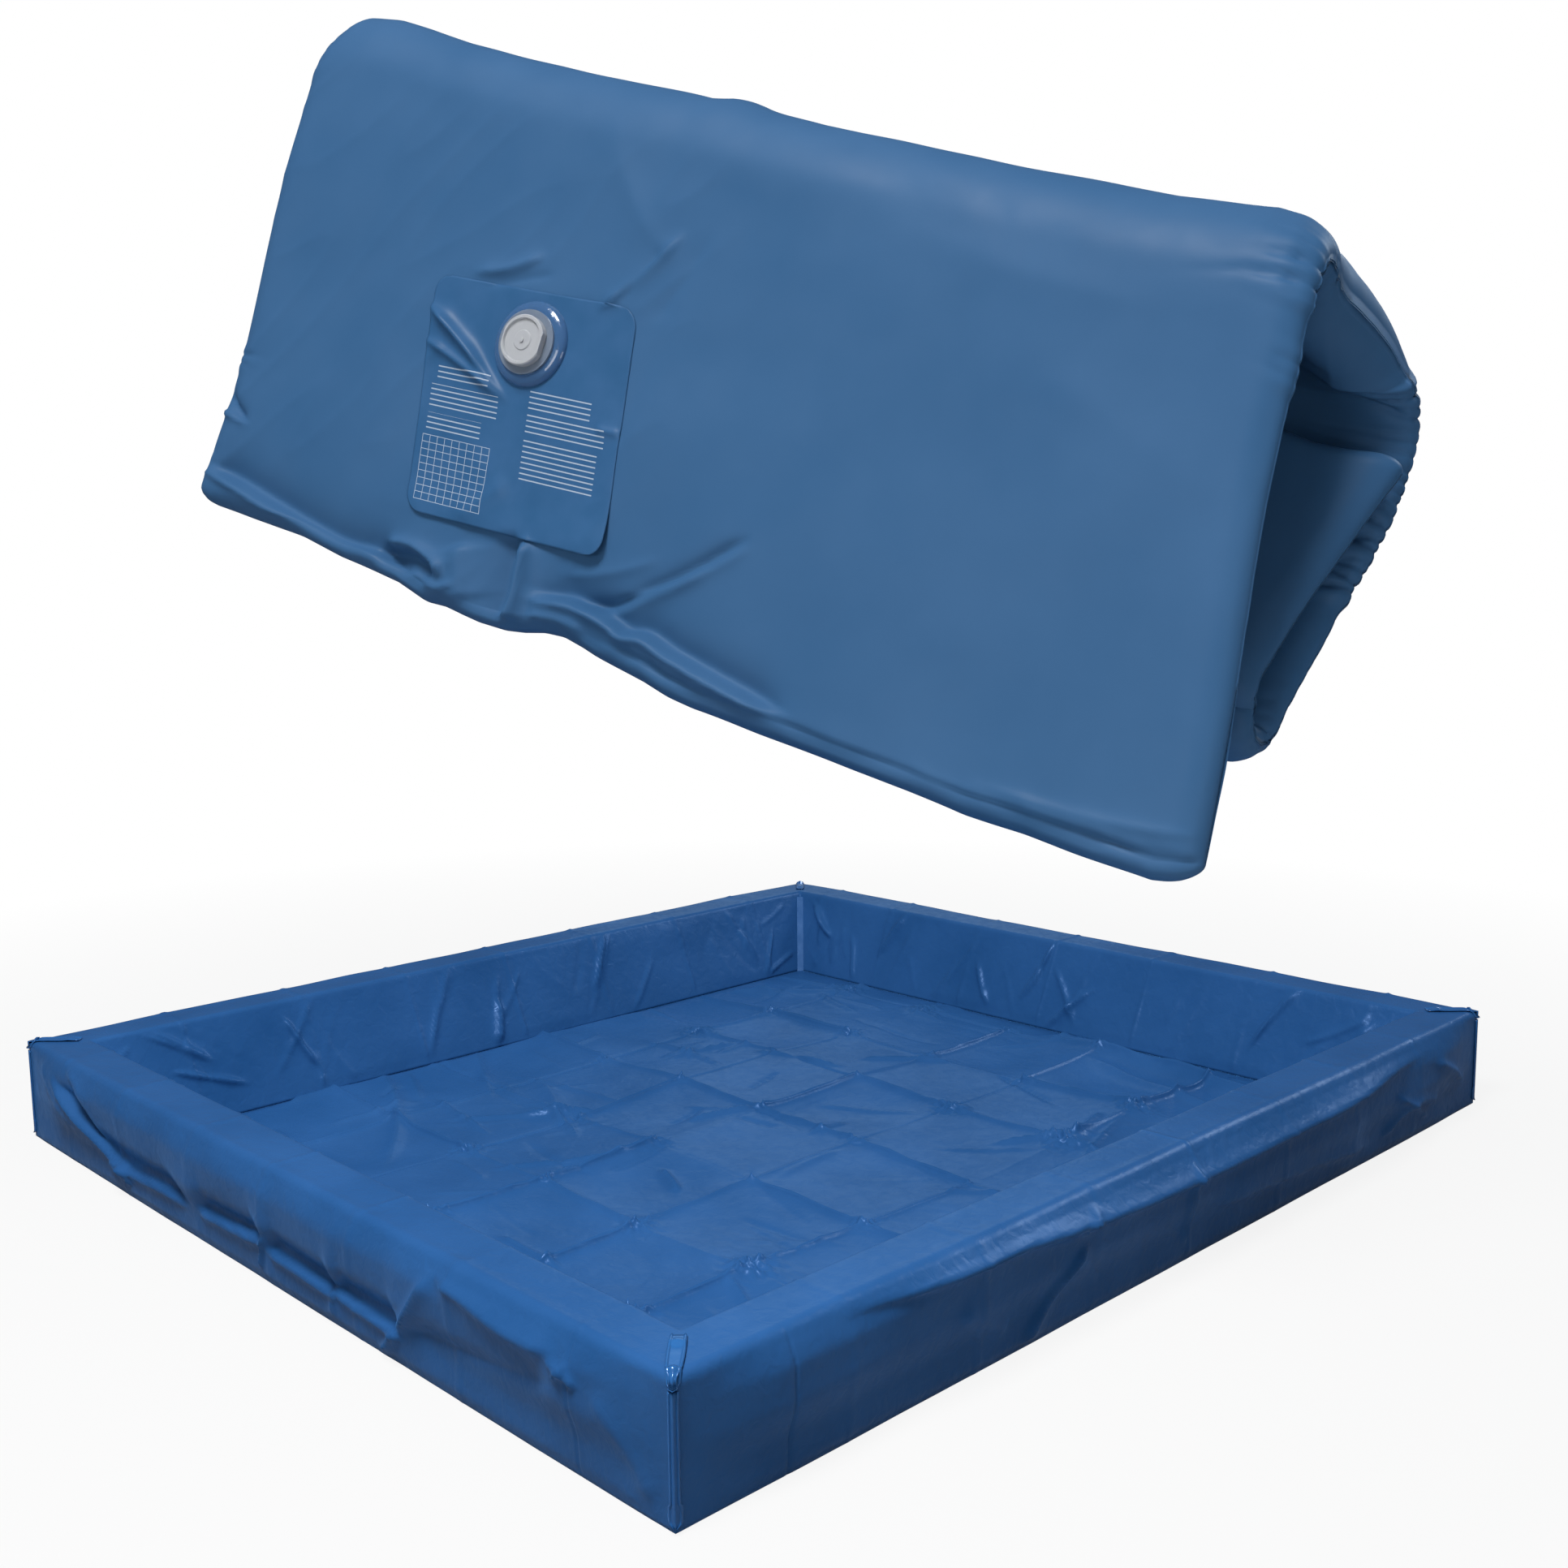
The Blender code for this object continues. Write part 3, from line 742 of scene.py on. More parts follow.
@dataclass
class SafetyLiner:
    """The vinyl sheet that lines the tray, goes over its rails and hangs down outside them."""

    rail_top_width: float = 0.09
    outer_radius: float = 0.012
    inner_radius: float = 0.012
    quarter_arc: float = 1.57
    thickness: float = 0.0012
    foot_lift: float = 0.0015
    packing_fold: float = 0.272
    packing_folds: int = 9
    packing_drift: float = 0.02
    fine_spacing: float = 0.0026
    coarse_spacing: float = 0.0062
    fine_reach: float = 0.013
    fine_fade: float = 0.005
    fold_margin: float = 0.04
    skirt_rows: int = 38
    top_rows: int = 8
    wall_rows: int = 40
    corner_rows: int = 5
    # Where the front and right skirts have a thin upright line, as shares of their half length
    front_line_share: float = 0.8185
    right_line_share: float = -0.832
    # How far the skirt stands off, and how it bellies out between its foot and its top
    stand_off: float = 0.0075
    belly: float = 0.015
    belly_at_corner: float = 0.15
    belly_run: float = 0.22
    belly_rise: Pair = (0.05, 0.112)
    belly_top: float = 0.15
    belly_past_top: float = 0.01
    # Height of the packing folds over the rail's top, skirt and wall, and their width
    top_fold: float = 0.003
    skirt_fold: float = 0.0022
    wall_fold: float = 0.0035
    fold_width: float = 0.0042
    flat_near_corner: Pair = (0.01, 0.05)
    # Height and width of the floor's packing folds, and the reach of the crushed places where two cross
    floor_fold: float = 0.016
    floor_fold_width: float = 0.0046
    floor_node: float = 0.024
    pillow: float = 0.012
    crush_reach: float = 0.022

    def __post_init__(self) -> None:
        """Take the tray's sizes from the frame."""
        self.half_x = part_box("liner_side_right")[1].x
        self.half_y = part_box("liner_side_back")[1].y
        self.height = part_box("liner_side_back")[1].z
        self.base_width = self.half_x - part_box("liner_floor")[1].x
        self.slope = (self.base_width - self.rail_top_width) / self.height
        draws = np.random.default_rng(71)
        middle = self.packing_folds // 2
        even = np.arange(-middle, middle + 1) * self.packing_fold
        self.lines_x = even + draws.uniform(-self.packing_drift, self.packing_drift, self.packing_folds)
        self.lines_y = even + draws.uniform(-self.packing_drift, self.packing_drift, self.packing_folds)

    def half_run(self, side: Side) -> float:
        """Return half of the length of one side."""
        return self.half_x if side in (Side.FRONT, Side.BACK) else self.half_y

    def columns(self, lines: Array, reach: float, panel_line_share: float) -> Array:
        """Return shares from -1 to 1 across the floor, close together at the folds.

        Args:
            lines: Places of the packing folds.
            reach: Half of the floor's size.
            panel_line_share: Share of that half where the skirt has a thin upright line.

        Returns:
            The shares.
        """
        marks: list[Pair] = []
        for line in np.sort(np.append(lines[np.abs(lines) < reach - self.fold_margin], panel_line_share * reach)):
            place = float(line) + reach
            low, high = place - self.fine_reach, place + self.fine_reach
            marks += [
                (low - self.fine_fade, self.coarse_spacing), (low, self.fine_spacing),
                (high, self.fine_spacing), (high + self.fine_fade, self.coarse_spacing)]
        return spaced(sorted(marks), 2 * reach) / reach - 1.0

    def profile(self) -> Array:
        """Return the liner's section over one rail.

        Returns:
            Rows of inset, height, path length and outward normal, from the skirt's foot to the floor.
        """
        lean = math.atan(self.slope)
        rows: list[Box] = []
        shoulder = self.height - self.outer_radius
        for z in np.linspace(self.foot_lift, shoulder, self.skirt_rows, endpoint=False):
            rows.append((0.0, z, -1.0, 0.0))
        for step in range(self.corner_rows + 1):
            angle = math.pi * 0.5 * step / self.corner_rows
            rows.append((
                self.outer_radius * (1 - math.cos(angle)), shoulder + self.outer_radius * math.sin(angle),
                -math.cos(angle), math.sin(angle),
            ))
        turn = math.pi * 0.5 - lean
        setback = self.inner_radius * math.tan(turn * 0.5)
        flat_end = self.rail_top_width - setback
        for d in np.linspace(self.outer_radius, flat_end, self.top_rows, endpoint=False)[1:]:
            rows.append((d, self.height, 0.0, 1.0))
        for step in range(self.corner_rows + 1):
            angle = turn * step / self.corner_rows
            rows.append((
                flat_end + self.inner_radius * math.sin(angle),
                self.height - self.inner_radius * (1 - math.cos(angle)), math.sin(angle), math.cos(angle),
            ))
        start = rows[-1]
        floor_height = self.thickness + self.foot_lift
        for share in np.linspace(0.0, 1.0, self.wall_rows)[1:]:
            z = start[1] + (floor_height - start[1]) * share
            rows.append((self.base_width - self.slope * z, z, math.cos(lean), math.sin(lean)))
        table = np.array(rows)
        path = np.concatenate(([0.0], np.cumsum(np.hypot(np.diff(table[:, 0]), np.diff(table[:, 1])))))
        return np.column_stack((table[:, :2], path, table[:, 2:]))

    @staticmethod
    def sag(*points: Pair) -> tuple[Crease, Crease]:
        """Return a valley that the skirt falls into from above, and the crest just under it."""
        return Crease(points, 0.0055, -0.022, 5.0).with_crest((0.0, -0.011), 0.006, 0.012)

    def skirt_folds(self, side: Side) -> list[Fold | Crease]:
        """Return the folds that show on one skirt.

        Args:
            side: Which skirt.

        Returns:
            Folds whose points are the place along the side and the height.
        """
        if side is Side.FRONT:
            return [
                *self.sag((-0.86, 0.17), (-0.7, 0.11), (-0.545, 0.064), (-0.36, 0.068), (-0.253, 0.062)),
                *self.sag((-0.245, 0.066), (-0.104, 0.073), (0.01, 0.083)),
                *self.sag((0.000, 0.068), (0.14, 0.067), (0.235, 0.062)),
                *self.sag((0.215, 0.068), (0.329, 0.063), (0.415, 0.06)),
                Crease(((0.515, 0.19), (0.405, 0.064), (0.325, -0.01)), 0.0045, 0.01, 2.5),
                Crease(((0.5, 0.178), (0.6, 0.17), (0.703, 0.158), (0.8, 0.165)), 0.008, 0.014, 2.0),
                Crease(((0.405, 0.066), (0.578, 0.086), (0.698, 0.1), (0.8, 0.125)), 0.012, -0.01, 2.0),
                Crease(((0.8185, 0.22), (0.8185, 0.1), (0.8185, -0.04)), 0.002, -0.0032),
                Crease(((0.775, 0.152), (0.809, 0.146), (0.84, 0.134)), 0.004, 0.008),
                Crease(((0.79, 0.13), (0.809, 0.146), (0.82, 0.16)), 0.004, 0.007),
                Crease(((0.006, 0.09), (-0.01, 0.055), (-0.022, 0.02)), 0.004, 0.007),
                Crease(((0.224, 0.07), (0.216, 0.045), (0.205, 0.015)), 0.004, 0.006),
                Crease(((-0.58, 0.085), (-0.542, 0.056), (-0.51, 0.025)), 0.005, 0.01),
                Crease(((-0.61, 0.048), (-0.57, 0.054), (-0.53, 0.05)), 0.004, 0.008),
                Crease(((-0.93, 0.175), (-0.84, 0.125), (-0.74, 0.075)), 0.004, 0.006, 3.0),
                Crease(((-0.8, 0.19), (-0.7, 0.15), (-0.6, 0.06)), 0.004, 0.007, 3.0),
                Crease(((0.86, 0.14), (0.93, 0.07), (0.97, 0.02)), 0.016, 0.006),
            ]
        if side is Side.RIGHT:
            return [
                Crease((
                    (-0.87, 0.186), (-0.735, 0.18), (-0.596, 0.173), (-0.466, 0.171), (-0.282, 0.158),
                    (0.035, 0.148), (0.3, 0.15), (0.494, 0.154), (0.656, 0.166), (0.88, 0.172),
                ), 0.006, 0.021, 2.6),
                Crease(((-0.274, 0.18), (-0.3, 0.155), (-0.314, 0.141)), 0.004, 0.008),
                Crease(((-0.29, 0.13), (-0.37, 0.07), (-0.445, 0.005)), 0.0045, 0.011, 3.0),
                Crease(((-0.006, 0.18), (-0.014, 0.1), (-0.008, 0.025)), 0.004, 0.009),
                Crease(((0.05, 0.078), (0.35, 0.062), (0.64, 0.04)), 0.01, 0.014, 3.0),
                Crease(((0.66, 0.036), (0.78, 0.078), (0.91, 0.06)), 0.006, 0.012, 2.0),
                Crease(((0.7, 0.115), (0.8, 0.066), (0.87, 0.03)), 0.005, 0.01),
                Crease(((0.86, 0.15), (0.95, 0.11), (1.04, 0.06)), 0.007, 0.009),
                Crease(((-0.9152, 0.22), (-0.9152, 0.1), (-0.9152, -0.04)), 0.002, -0.0032),
                Crease(((-0.6, 0.11), (-0.52, 0.075), (-0.47, 0.045)), 0.01, 0.007, 2.0),
            ]
        return [
            *self.sag((-0.8, 0.165), (-0.55, 0.085), (-0.3, 0.07), (-0.12, 0.078)),
            *self.sag((-0.1, 0.07), (0.08, 0.062), (0.26, 0.074)),
            *self.sag((0.2, 0.155), (0.45, 0.1), (0.66, 0.06)),
            Crease(((0.5, 0.19), (0.48, 0.1), (0.45, 0.0)), 0.004, 0.008, 2.0),
            Crease(((-0.6, 0.18), (-0.68, 0.1), (-0.72, 0.01)), 0.004, 0.008, 2.0),
        ]

    def side_relief(self, side: Side, run: Array, path: Array, length: float) -> Array:
        """Return how far the liner stands off its smooth form along one side.

        Args:
            side: Which side of the tray.
            run: Distance along the side from its middle.
            path: Distance up the skirt, over the top and down the inner wall.
            length: Whole path length.

        Returns:
            Heights square to the surface.
        """
        seed = 10 + 10 * side.value
        skirt_end = self.height - self.outer_radius
        wall_start = skirt_end + self.outer_radius * self.quarter_arc + self.rail_top_width - self.outer_radius
        skirt = ease(path, skirt_end + 0.03, skirt_end - 0.012)
        wall = ease(path, wall_start - 0.012, wall_start + 0.03)
        top = 1.0 - skirt - wall
        from_corner = ease(self.half_run(side) - np.abs(run), 0.0, self.belly_run)
        bulge = self.belly_at_corner + (1.0 - self.belly_at_corner) * from_corner
        waves = total_relief((
            Ripple(0.004, 0.3, 0.16, seed, 3.0), Ripple(0.0016, 0.11, 0.07, seed + 1)), run, path)
        belly = self.belly * bulge * ease(path, *self.belly_rise)
        belly = belly * ease(path, skirt_end + self.belly_past_top, self.belly_top)
        relief = skirt * (waves + belly + self.stand_off * bulge)
        relief += skirt * total_relief(self.skirt_folds(side), run, path)
        relief += top * Ripple(0.0012, 0.22, 0.05, seed + 3).relief(run, path)
        phase = noise(run / 0.5, path * 0.0, seed + 4) * 0.03
        nearest = np.abs((run + phase + 0.13) % self.packing_fold - self.packing_fold * 0.5)
        fold = top * self.top_fold + skirt * self.skirt_fold + wall * self.wall_fold
        relief += fold * np.exp(-nearest / self.fold_width)
        relief += wall * total_relief((
            Ripple(0.0045, 0.26, 0.2, seed + 9), Ripple(0.001, 0.07, 0.07, seed + 5)), run, path)
        relief += wall * total_relief(self.wall_creases(side, wall_start, length), run, path)
        foot = ease(length - path, 0.0, 0.03)
        # The sheet never goes below its smooth form: small heights are rounded off to zero
        relief = 0.5 * (relief + np.sqrt(relief ** 2 + 0.0016 ** 2)) - 0.0004
        return relief * foot * (1.0 - 0.75 * ease(path, 0.02, 0.0) * skirt)

    def floor_creases(self) -> list[Fold]:
        """Return the small creases strewn over the floor, most of them nearly in line with its sides.

        Returns:
            The creases.
        """
        reach_x, reach_y = self.half_x - self.base_width, self.half_y - self.base_width
        area = (-reach_x, reach_x, -reach_y, reach_y)
        wide = (0.004, 0.0065)
        return [
            *scattered_folds(46, 301, area, (0.1, 0.34), (-24.0, 16.0), wide, (-0.007, 0.013)),
            *scattered_folds(40, 302, area, (0.08, 0.26), (70.0, 112.0), wide, (-0.007, 0.0125)),
            *scattered_folds(18, 303, area, (0.12, 0.3), (30.0, 60.0), (0.004, 0.006), (0.001, 0.011)),
        ]

    def wall_creases(self, side: Side, wall_start: float, length: float) -> list[Fold]:
        """Return the slanting creases of one inner wall.

        Args:
            side: Which wall.
            wall_start: Path length at the wall's top.
            length: Path length at its foot.

        Returns:
            The creases.
        """
        seed = 320 + 10 * side.value
        half = self.half_run(side)
        area = (-half + 0.1, half - 0.1, wall_start + 0.03, length - 0.03)
        wide = (0.0035, 0.006)
        creases = [
            *scattered_folds(22, seed, area, (0.12, 0.3), (48.0, 76.0), wide, (-0.005, 0.0125)),
            *scattered_folds(10, seed + 1, area, (0.1, 0.24), (104.0, 128.0), wide, (-0.005, 0.0105)),
        ]
        for corner, turn in ((-1, (20.0, 80.0)), (1, (100.0, 160.0))):
            middle = corner * (half - 0.27)
            near = (middle - 0.09, middle + 0.09, wall_start + 0.04, length - 0.02)
            creases += scattered_folds(9, seed + 4 + corner, near, (0.06, 0.2), turn, wide, (-0.004, 0.011))
        return creases

    def corner_folds(self) -> list[Fold]:
        """Return the large folds that lie on the floor near its corners.

        Returns:
            The folds.
        """
        reach_x, reach_y = self.half_x - self.base_width, self.half_y - self.base_width
        return [
            Fold((reach_x - 0.45, reach_y - 0.1), (reach_x - 0.02, reach_y - 0.16), 0.018, 0.022, 0.02),
            Fold((reach_x - 0.55, reach_y - 0.16), (reach_x - 0.12, reach_y - 0.24), 0.014, 0.014, -0.02),
            Fold((reach_x - 0.75, reach_y - 0.08), (reach_x - 0.4, reach_y - 0.12), 0.014, 0.014, 0.01),
            Fold((-reach_x + 0.02, reach_y - 0.3), (-reach_x + 0.35, reach_y - 0.12), 0.014, 0.012, 0.02),
            Fold((-reach_x + 0.02, -reach_y + 0.5), (-reach_x + 0.5, -reach_y + 0.22), 0.014, 0.014, 0.03),
            Fold((-reach_x + 0.02, -reach_y + 0.75), (-reach_x + 0.3, -reach_y + 0.6), 0.01, 0.009),
            Fold((-0.5, -0.2), (-0.28, -0.32), 0.012, 0.01, 0.01),
        ]

    def floor_relief(self, x: Array, y: Array) -> Array:
        """Return the height of the liner's floor above its lowest level.

        Args:
            x: Position across the tray.
            y: Position along the tray.

        Returns:
            Heights, all above zero.
        """
        draws = np.random.default_rng(74)
        count = self.packing_folds
        lines_x, lines_y = self.lines_x, self.lines_y
        bent_x = x + Ripple(0.006, 0.5, 0.35, 72).relief(x, y)
        bent_y = y + Ripple(0.006, 0.35, 0.5, 73).relief(x, y)
        nodes = draws.uniform(0.0, self.floor_node, (count, count))
        strengths = draws.uniform(-0.45, 1.0, (2, count, count))
        share_x = np.interp(bent_x, lines_x, np.arange(float(count)))
        share_y = np.interp(bent_y, lines_y, np.arange(float(count)))
        cell_x = np.clip(share_x.astype(int), 0, count - 2)
        cell_y = np.clip(share_y.astype(int), 0, count - 2)
        part_x = share_x - cell_x
        part_y = share_y - cell_y
        relief = (
            nodes[cell_x, cell_y] * (1 - part_x) * (1 - part_y) + nodes[cell_x + 1, cell_y] * part_x * (1 - part_y)
            + nodes[cell_x, cell_y + 1] * (1 - part_x) * part_y + nodes[cell_x + 1, cell_y + 1] * part_x * part_y
        )
        hollow = self.pillow * part_x * (1 - part_x) * part_y * (1 - part_y) * 16
        relief -= hollow * (0.4 + 0.6 * strengths[0, cell_x, cell_y])
        for index in range(count):
            for bent, lines, strength in (
                    (bent_x, lines_x, strengths[0, index, cell_y]),
                    (bent_y, lines_y, strengths[1, cell_x, index])):
                across = np.abs(bent - lines[index])
                relief += self.floor_fold * strength * np.exp(-across / self.floor_fold_width)
        crush = ridged(x / 0.024, y / 0.019, 76, 3.0)
        for line_x in lines_x:
            for line_y in lines_y:
                strength = draws.uniform(0.0, 1.0) ** 1.3
                reach = self.crush_reach + self.crush_reach * strength
                away = ((bent_x - line_x) ** 2 + (bent_y - line_y) ** 2) / reach ** 2
                relief += self.floor_fold * strength * crush * np.exp(-away)
        relief += total_relief((Ripple(0.0022, 0.2, 0.2, 80), Ripple(0.0008, 0.06, 0.06, 81)), x, y)
        relief += total_relief(self.floor_creases(), x, y)
        relief += total_relief(self.corner_folds(), x, y)
        edge = np.minimum(self.half_x - self.base_width - np.abs(x), self.half_y - self.base_width - np.abs(y))
        return np.maximum(relief, 0.0) * ease(edge, 0.0, 0.05)

    def rings(self, profile: Array, shares_x: Array, shares_y: Array) -> Array:
        """Return the sheet's points from the skirt's foot to the floor's edge.

        Args:
            profile: Rows as profile gives them.
            shares_x: Shares along the front, from -1 to 1.
            shares_y: Shares along the right side, from -1 to 1.

        Returns:
            Positions by row and place round the tray, starting at the front left corner.
        """
        shares = {
            Side.FRONT: shares_x, Side.RIGHT: shares_y, Side.BACK: -shares_x[::-1], Side.LEFT: -shares_y[::-1],
        }
        blocks = []
        for side, marks in shares.items():
            half, face = self.half_x, self.half_y
            if side in (Side.RIGHT, Side.LEFT):
                half, face = face, half
            inset = profile[:, 0][:, None]
            run = marks[None, :-1] * (half - inset)
            path = np.broadcast_to(profile[:, 2][:, None], run.shape)
            relief = self.side_relief(side, run, path, profile[-1, 2])
            relief = relief * ease(half - inset - np.abs(run), *self.flat_near_corner)
            out = inset + relief * profile[:, 3][:, None]
            up = profile[:, 1][:, None] + relief * profile[:, 4][:, None]
            local = np.stack((run, out - face, np.broadcast_to(up, run.shape)), axis=-1)
            turn = np.array(Matrix.Rotation(side.value * math.pi * 0.5, 3, "Z"))
            blocks.append(local @ turn.T)
        return np.concatenate(blocks, axis=1)

    @staticmethod
    def floor_index(base: int, inside: int, across: int, along: int) -> Array:
        """Return the vertex index of every point of the floor, with its edge taken from the last ring.

        Args:
            base: Index of the last ring's first point.
            inside: Index of the floor's first inner point.
            across: Number of spaces across the floor.
            along: Number of spaces along it.

        Returns:
            The indices, row by row from the front.
        """
        index = np.zeros((along + 1, across + 1), dtype=int)
        index[0, :] = base + np.arange(0, across + 1)
        index[:, across] = base + across + np.arange(0, along + 1)
        index[along, :] = (base + across + along + np.arange(0, across + 1))[::-1]
        left = base + 2 * across + along + np.arange(0, along + 1)
        left[-1] = base
        index[:, 0] = left[::-1]
        inner = index[1:along, 1:across]
        inner[...] = inside + np.arange(inner.size).reshape(inner.shape)
        return index

    def build(self, vinyl: Material) -> None:
        """Build the whole liner as one continuous sheet.

        Args:
            vinyl: Material of the sheet.
        """
        profile = self.profile()
        shares_x = self.columns(self.lines_x, self.half_x - self.base_width, self.front_line_share)
        shares_y = self.columns(self.lines_y, self.half_y - self.base_width, self.right_line_share)
        rings = self.rings(profile, shares_x, shares_y)
        rows, around = rings.shape[:2]
        points = rings.reshape(-1, 3)
        faces = [face[::-1] for face in grid_faces(rows, around, wrap=True)]
        reach_x = self.half_x - profile[-1, 0]
        reach_y = self.half_y - profile[-1, 0]
        grid_x, grid_y = np.meshgrid(shares_x[1:-1] * reach_x, shares_y[1:-1] * reach_y)
        grid_z = profile[-1, 1] + self.floor_relief(grid_x, grid_y)
        index = self.floor_index((rows - 1) * around, len(points), len(shares_x) - 1, len(shares_y) - 1)
        points = np.vstack((points, np.stack((grid_x, grid_y, grid_z), axis=-1).reshape(-1, 3)))
        flat_index = index.reshape(-1).tolist()
        faces += [tuple(flat_index[k] for k in face) for face in grid_faces(*index.shape)]
        liner = mesh_object("safety_liner", points, faces)
        dress(liner, vinyl)
        add_film(liner, self.thickness, -1.0)
        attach(liner, "tray")
        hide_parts("liner_floor", *(f"liner_side_{side.name.lower()}" for side in Side))


@dataclass
class CornerWelds:
    """The welded strips at the tray's corners: a folded tab over the top, and a bead down the edge."""

    height: float = 0.2
    outer_radius: float = 0.012
    tab_half_width: float = 0.0105
    tab_start: float = 0.074
    tab_foot: float = 0.186
    tab_waves: Pair = (0.12, 9.0)
    bead_half_width: float = 0.0095
    foot_half_width: float = 0.013
    foot_height: float = 0.036
    foot_blend: float = 0.002
    overlap: float = 0.004
    lowest: float = 0.009
    end_radius: float = 0.006
    lift: float = 0.0034
    thickness: float = 0.001
    rows: int = 48
    columns: int = 27
    # Height, middle and width of each bump of the tab, with its place as a share from its inner end
    TAB_BUMPS = ((0.005, 0.66, 0.055), (-0.0022, 0.8, 0.035))
    TAB_END = (0.0045, 0.08, 0.03)
    TAB_LIP = (0.0045, 0.86)
    # The welts along both edges of the tab and of the bead, with their place as a share of the half width
    TAB_WELT = (0.002, 0.82, 0.13)
    BEAD_WELT = (0.0028, 0.8, 0.14)
    FOOT_RIM = (0.0012, 0.003)

    def top_height(self, inset: Array) -> Array:
        """Return the height of the liner's top at a distance in from its outer face."""
        inside = np.clip(self.outer_radius - inset, 0.0, self.outer_radius)
        return self.height - self.outer_radius + np.sqrt(self.outer_radius ** 2 - inside ** 2)

    def strip(self, name: str, corner: Box, across: Array, inset: Array, z: Array, off: Array,
              weld: Material) -> bpy.types.Object:
        """Build one strip over a corner.

        Args:
            name: Object name.
            corner: The corner's place, and the signs of its x and y.
            across: Place across the strip in metres, one column each.
            inset: Distance in from the corner along both sides, one row each.
            z: Height of the strip's middle, one row each.
            off: Distance off the liner.
            weld: Material of the strip.

        Returns:
            The strip.
        """
        x, y, sign_x, sign_y = corner
        shift = across / math.sqrt(2.0)
        inset_x = np.maximum(inset[:, None] - shift, 0.0)
        inset_y = np.maximum(inset[:, None] + shift, 0.0)
        drape = np.minimum(self.top_height(np.minimum(inset_x, inset_y)), self.height)
        level = np.where(inset[:, None] > 0.0, drape, z[:, None])
        upright = ease(inset, self.outer_radius, 0.0)[:, None]
        out = off * upright * 0.7
        points = np.stack((
            x - sign_x * inset_x + sign_x * out, y - sign_y * inset_y + sign_y * out,
            level + off * (1.0 - upright)), axis=-1)
        obj = mesh_object(name, points.reshape(-1, 3), grid_faces(*points.shape[:2]))
        dress(obj, weld)
        add_film(obj, self.thickness, 0.0)
        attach(obj, "tray")
        return obj

    def tab(self, share: Array) -> tuple[Array, Array, Array, Array]:
        """Return the form of the tab over the corner's top.

        Args:
            share: Places across the tab from -1 to 1.

        Returns:
            Places across in metres, insets, heights and distances off the liner.
        """
        third = self.rows // 3
        shoulder = self.height - self.outer_radius
        angle = np.linspace(math.pi * 0.5, 0.0, third)
        flat = np.linspace(self.tab_start, self.outer_radius, third, endpoint=False)
        down = np.linspace(shoulder, self.tab_foot, third)[1:]
        inset = np.concatenate((flat, self.outer_radius * (1.0 - np.sin(angle)), np.zeros(len(down))))
        z = np.concatenate((np.full(len(flat), self.height), shoulder + self.outer_radius * np.sin(angle), down))
        along = np.linspace(0.0, 1.0, len(inset))[:, None]
        lip, lip_start = self.TAB_LIP
        bumps = sum(bell(along, *bump) for bump in self.TAB_BUMPS) + lip * ease(along, lip_start, 1.0)
        bumps = (bumps + bell(along, *self.TAB_END)) * (1.0 - 0.8 * share ** 2)
        off = self.lift + bumps + bell(np.abs(share), *self.TAB_WELT)
        swell, turns = self.tab_waves
        return share * (self.tab_half_width * (1.0 + swell * np.sin(along * turns))), inset, z, off

    def bead(self, share: Array) -> tuple[Array, Array, Array, Array]:
        """Return the form of the bead down the corner's edge.

        Args:
            share: Places across the bead from -1 to 1.

        Returns:
            Places across in metres, insets, heights and distances off the liner.
        """
        z = np.linspace(self.tab_foot - self.overlap, self.lowest, self.rows)
        foot = ease(z, self.foot_height + self.foot_blend, self.foot_height - self.foot_blend)[:, None]
        rounded = np.sqrt(np.clip(1.0 - (1.0 - (z - self.lowest) / self.end_radius) ** 2, 0.1, 1.0))
        rounded = np.where(z < self.lowest + self.end_radius, rounded, 1.0)[:, None]
        width = (self.bead_half_width + (self.foot_half_width - self.bead_half_width) * foot) * rounded
        rim_height, rim_width = self.FOOT_RIM
        rim = bell(z, rim_height, self.lowest, rim_width)[:, None] * foot
        return share * width * math.sqrt(2.0), np.zeros(self.rows), z, (
            self.lift + bell(np.abs(share), *self.BEAD_WELT) + rim)

    def build(self, weld: Material) -> None:
        """Build the tab and the bead of every corner.

        Args:
            weld: Material of the strips.
        """
        half_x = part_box("liner_side_right")[1].x
        half_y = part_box("liner_side_back")[1].y
        share = np.linspace(-1.0, 1.0, self.columns)[None, :]
        for end_y, sign_y in (("front", -1.0), ("back", 1.0)):
            for end_x, sign_x in (("right", 1.0), ("left", -1.0)):
                name = f"{end_y}_{end_x}"
                corner = (sign_x * half_x, sign_y * half_y, sign_x, sign_y)
                tab = self.strip(f"corner_tab_{name}", corner, *self.tab(share), weld)
                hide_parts(f"corner_strip_top_{name}")
                bead = self.strip(f"corner_bead_{name}", corner, *self.bead(share), weld)
                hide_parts(f"corner_weld_outer_{name}")
        LOG.info("corner welds built")


@dataclass
class TrayFrame:
    """The foam rails and the inner welds at the tray's corners."""

    rails: str = "foam_rail"
    inner_welds: str = "corner_weld_inner"

    def build(self, weld: Material, foam: Material) -> None:
        """Dress the rails and welds.

        Args:
            weld: Material of the welds.
            foam: Material of the rails.
        """
        for name, node in FRAME["nodes"].items():
            if name.startswith(self.rails):
                dress(node, foam)
            if name.startswith(self.inner_welds):
                dress(node, weld)
        LOG.info("tray frame: rails and welds dressed")


# The folded core


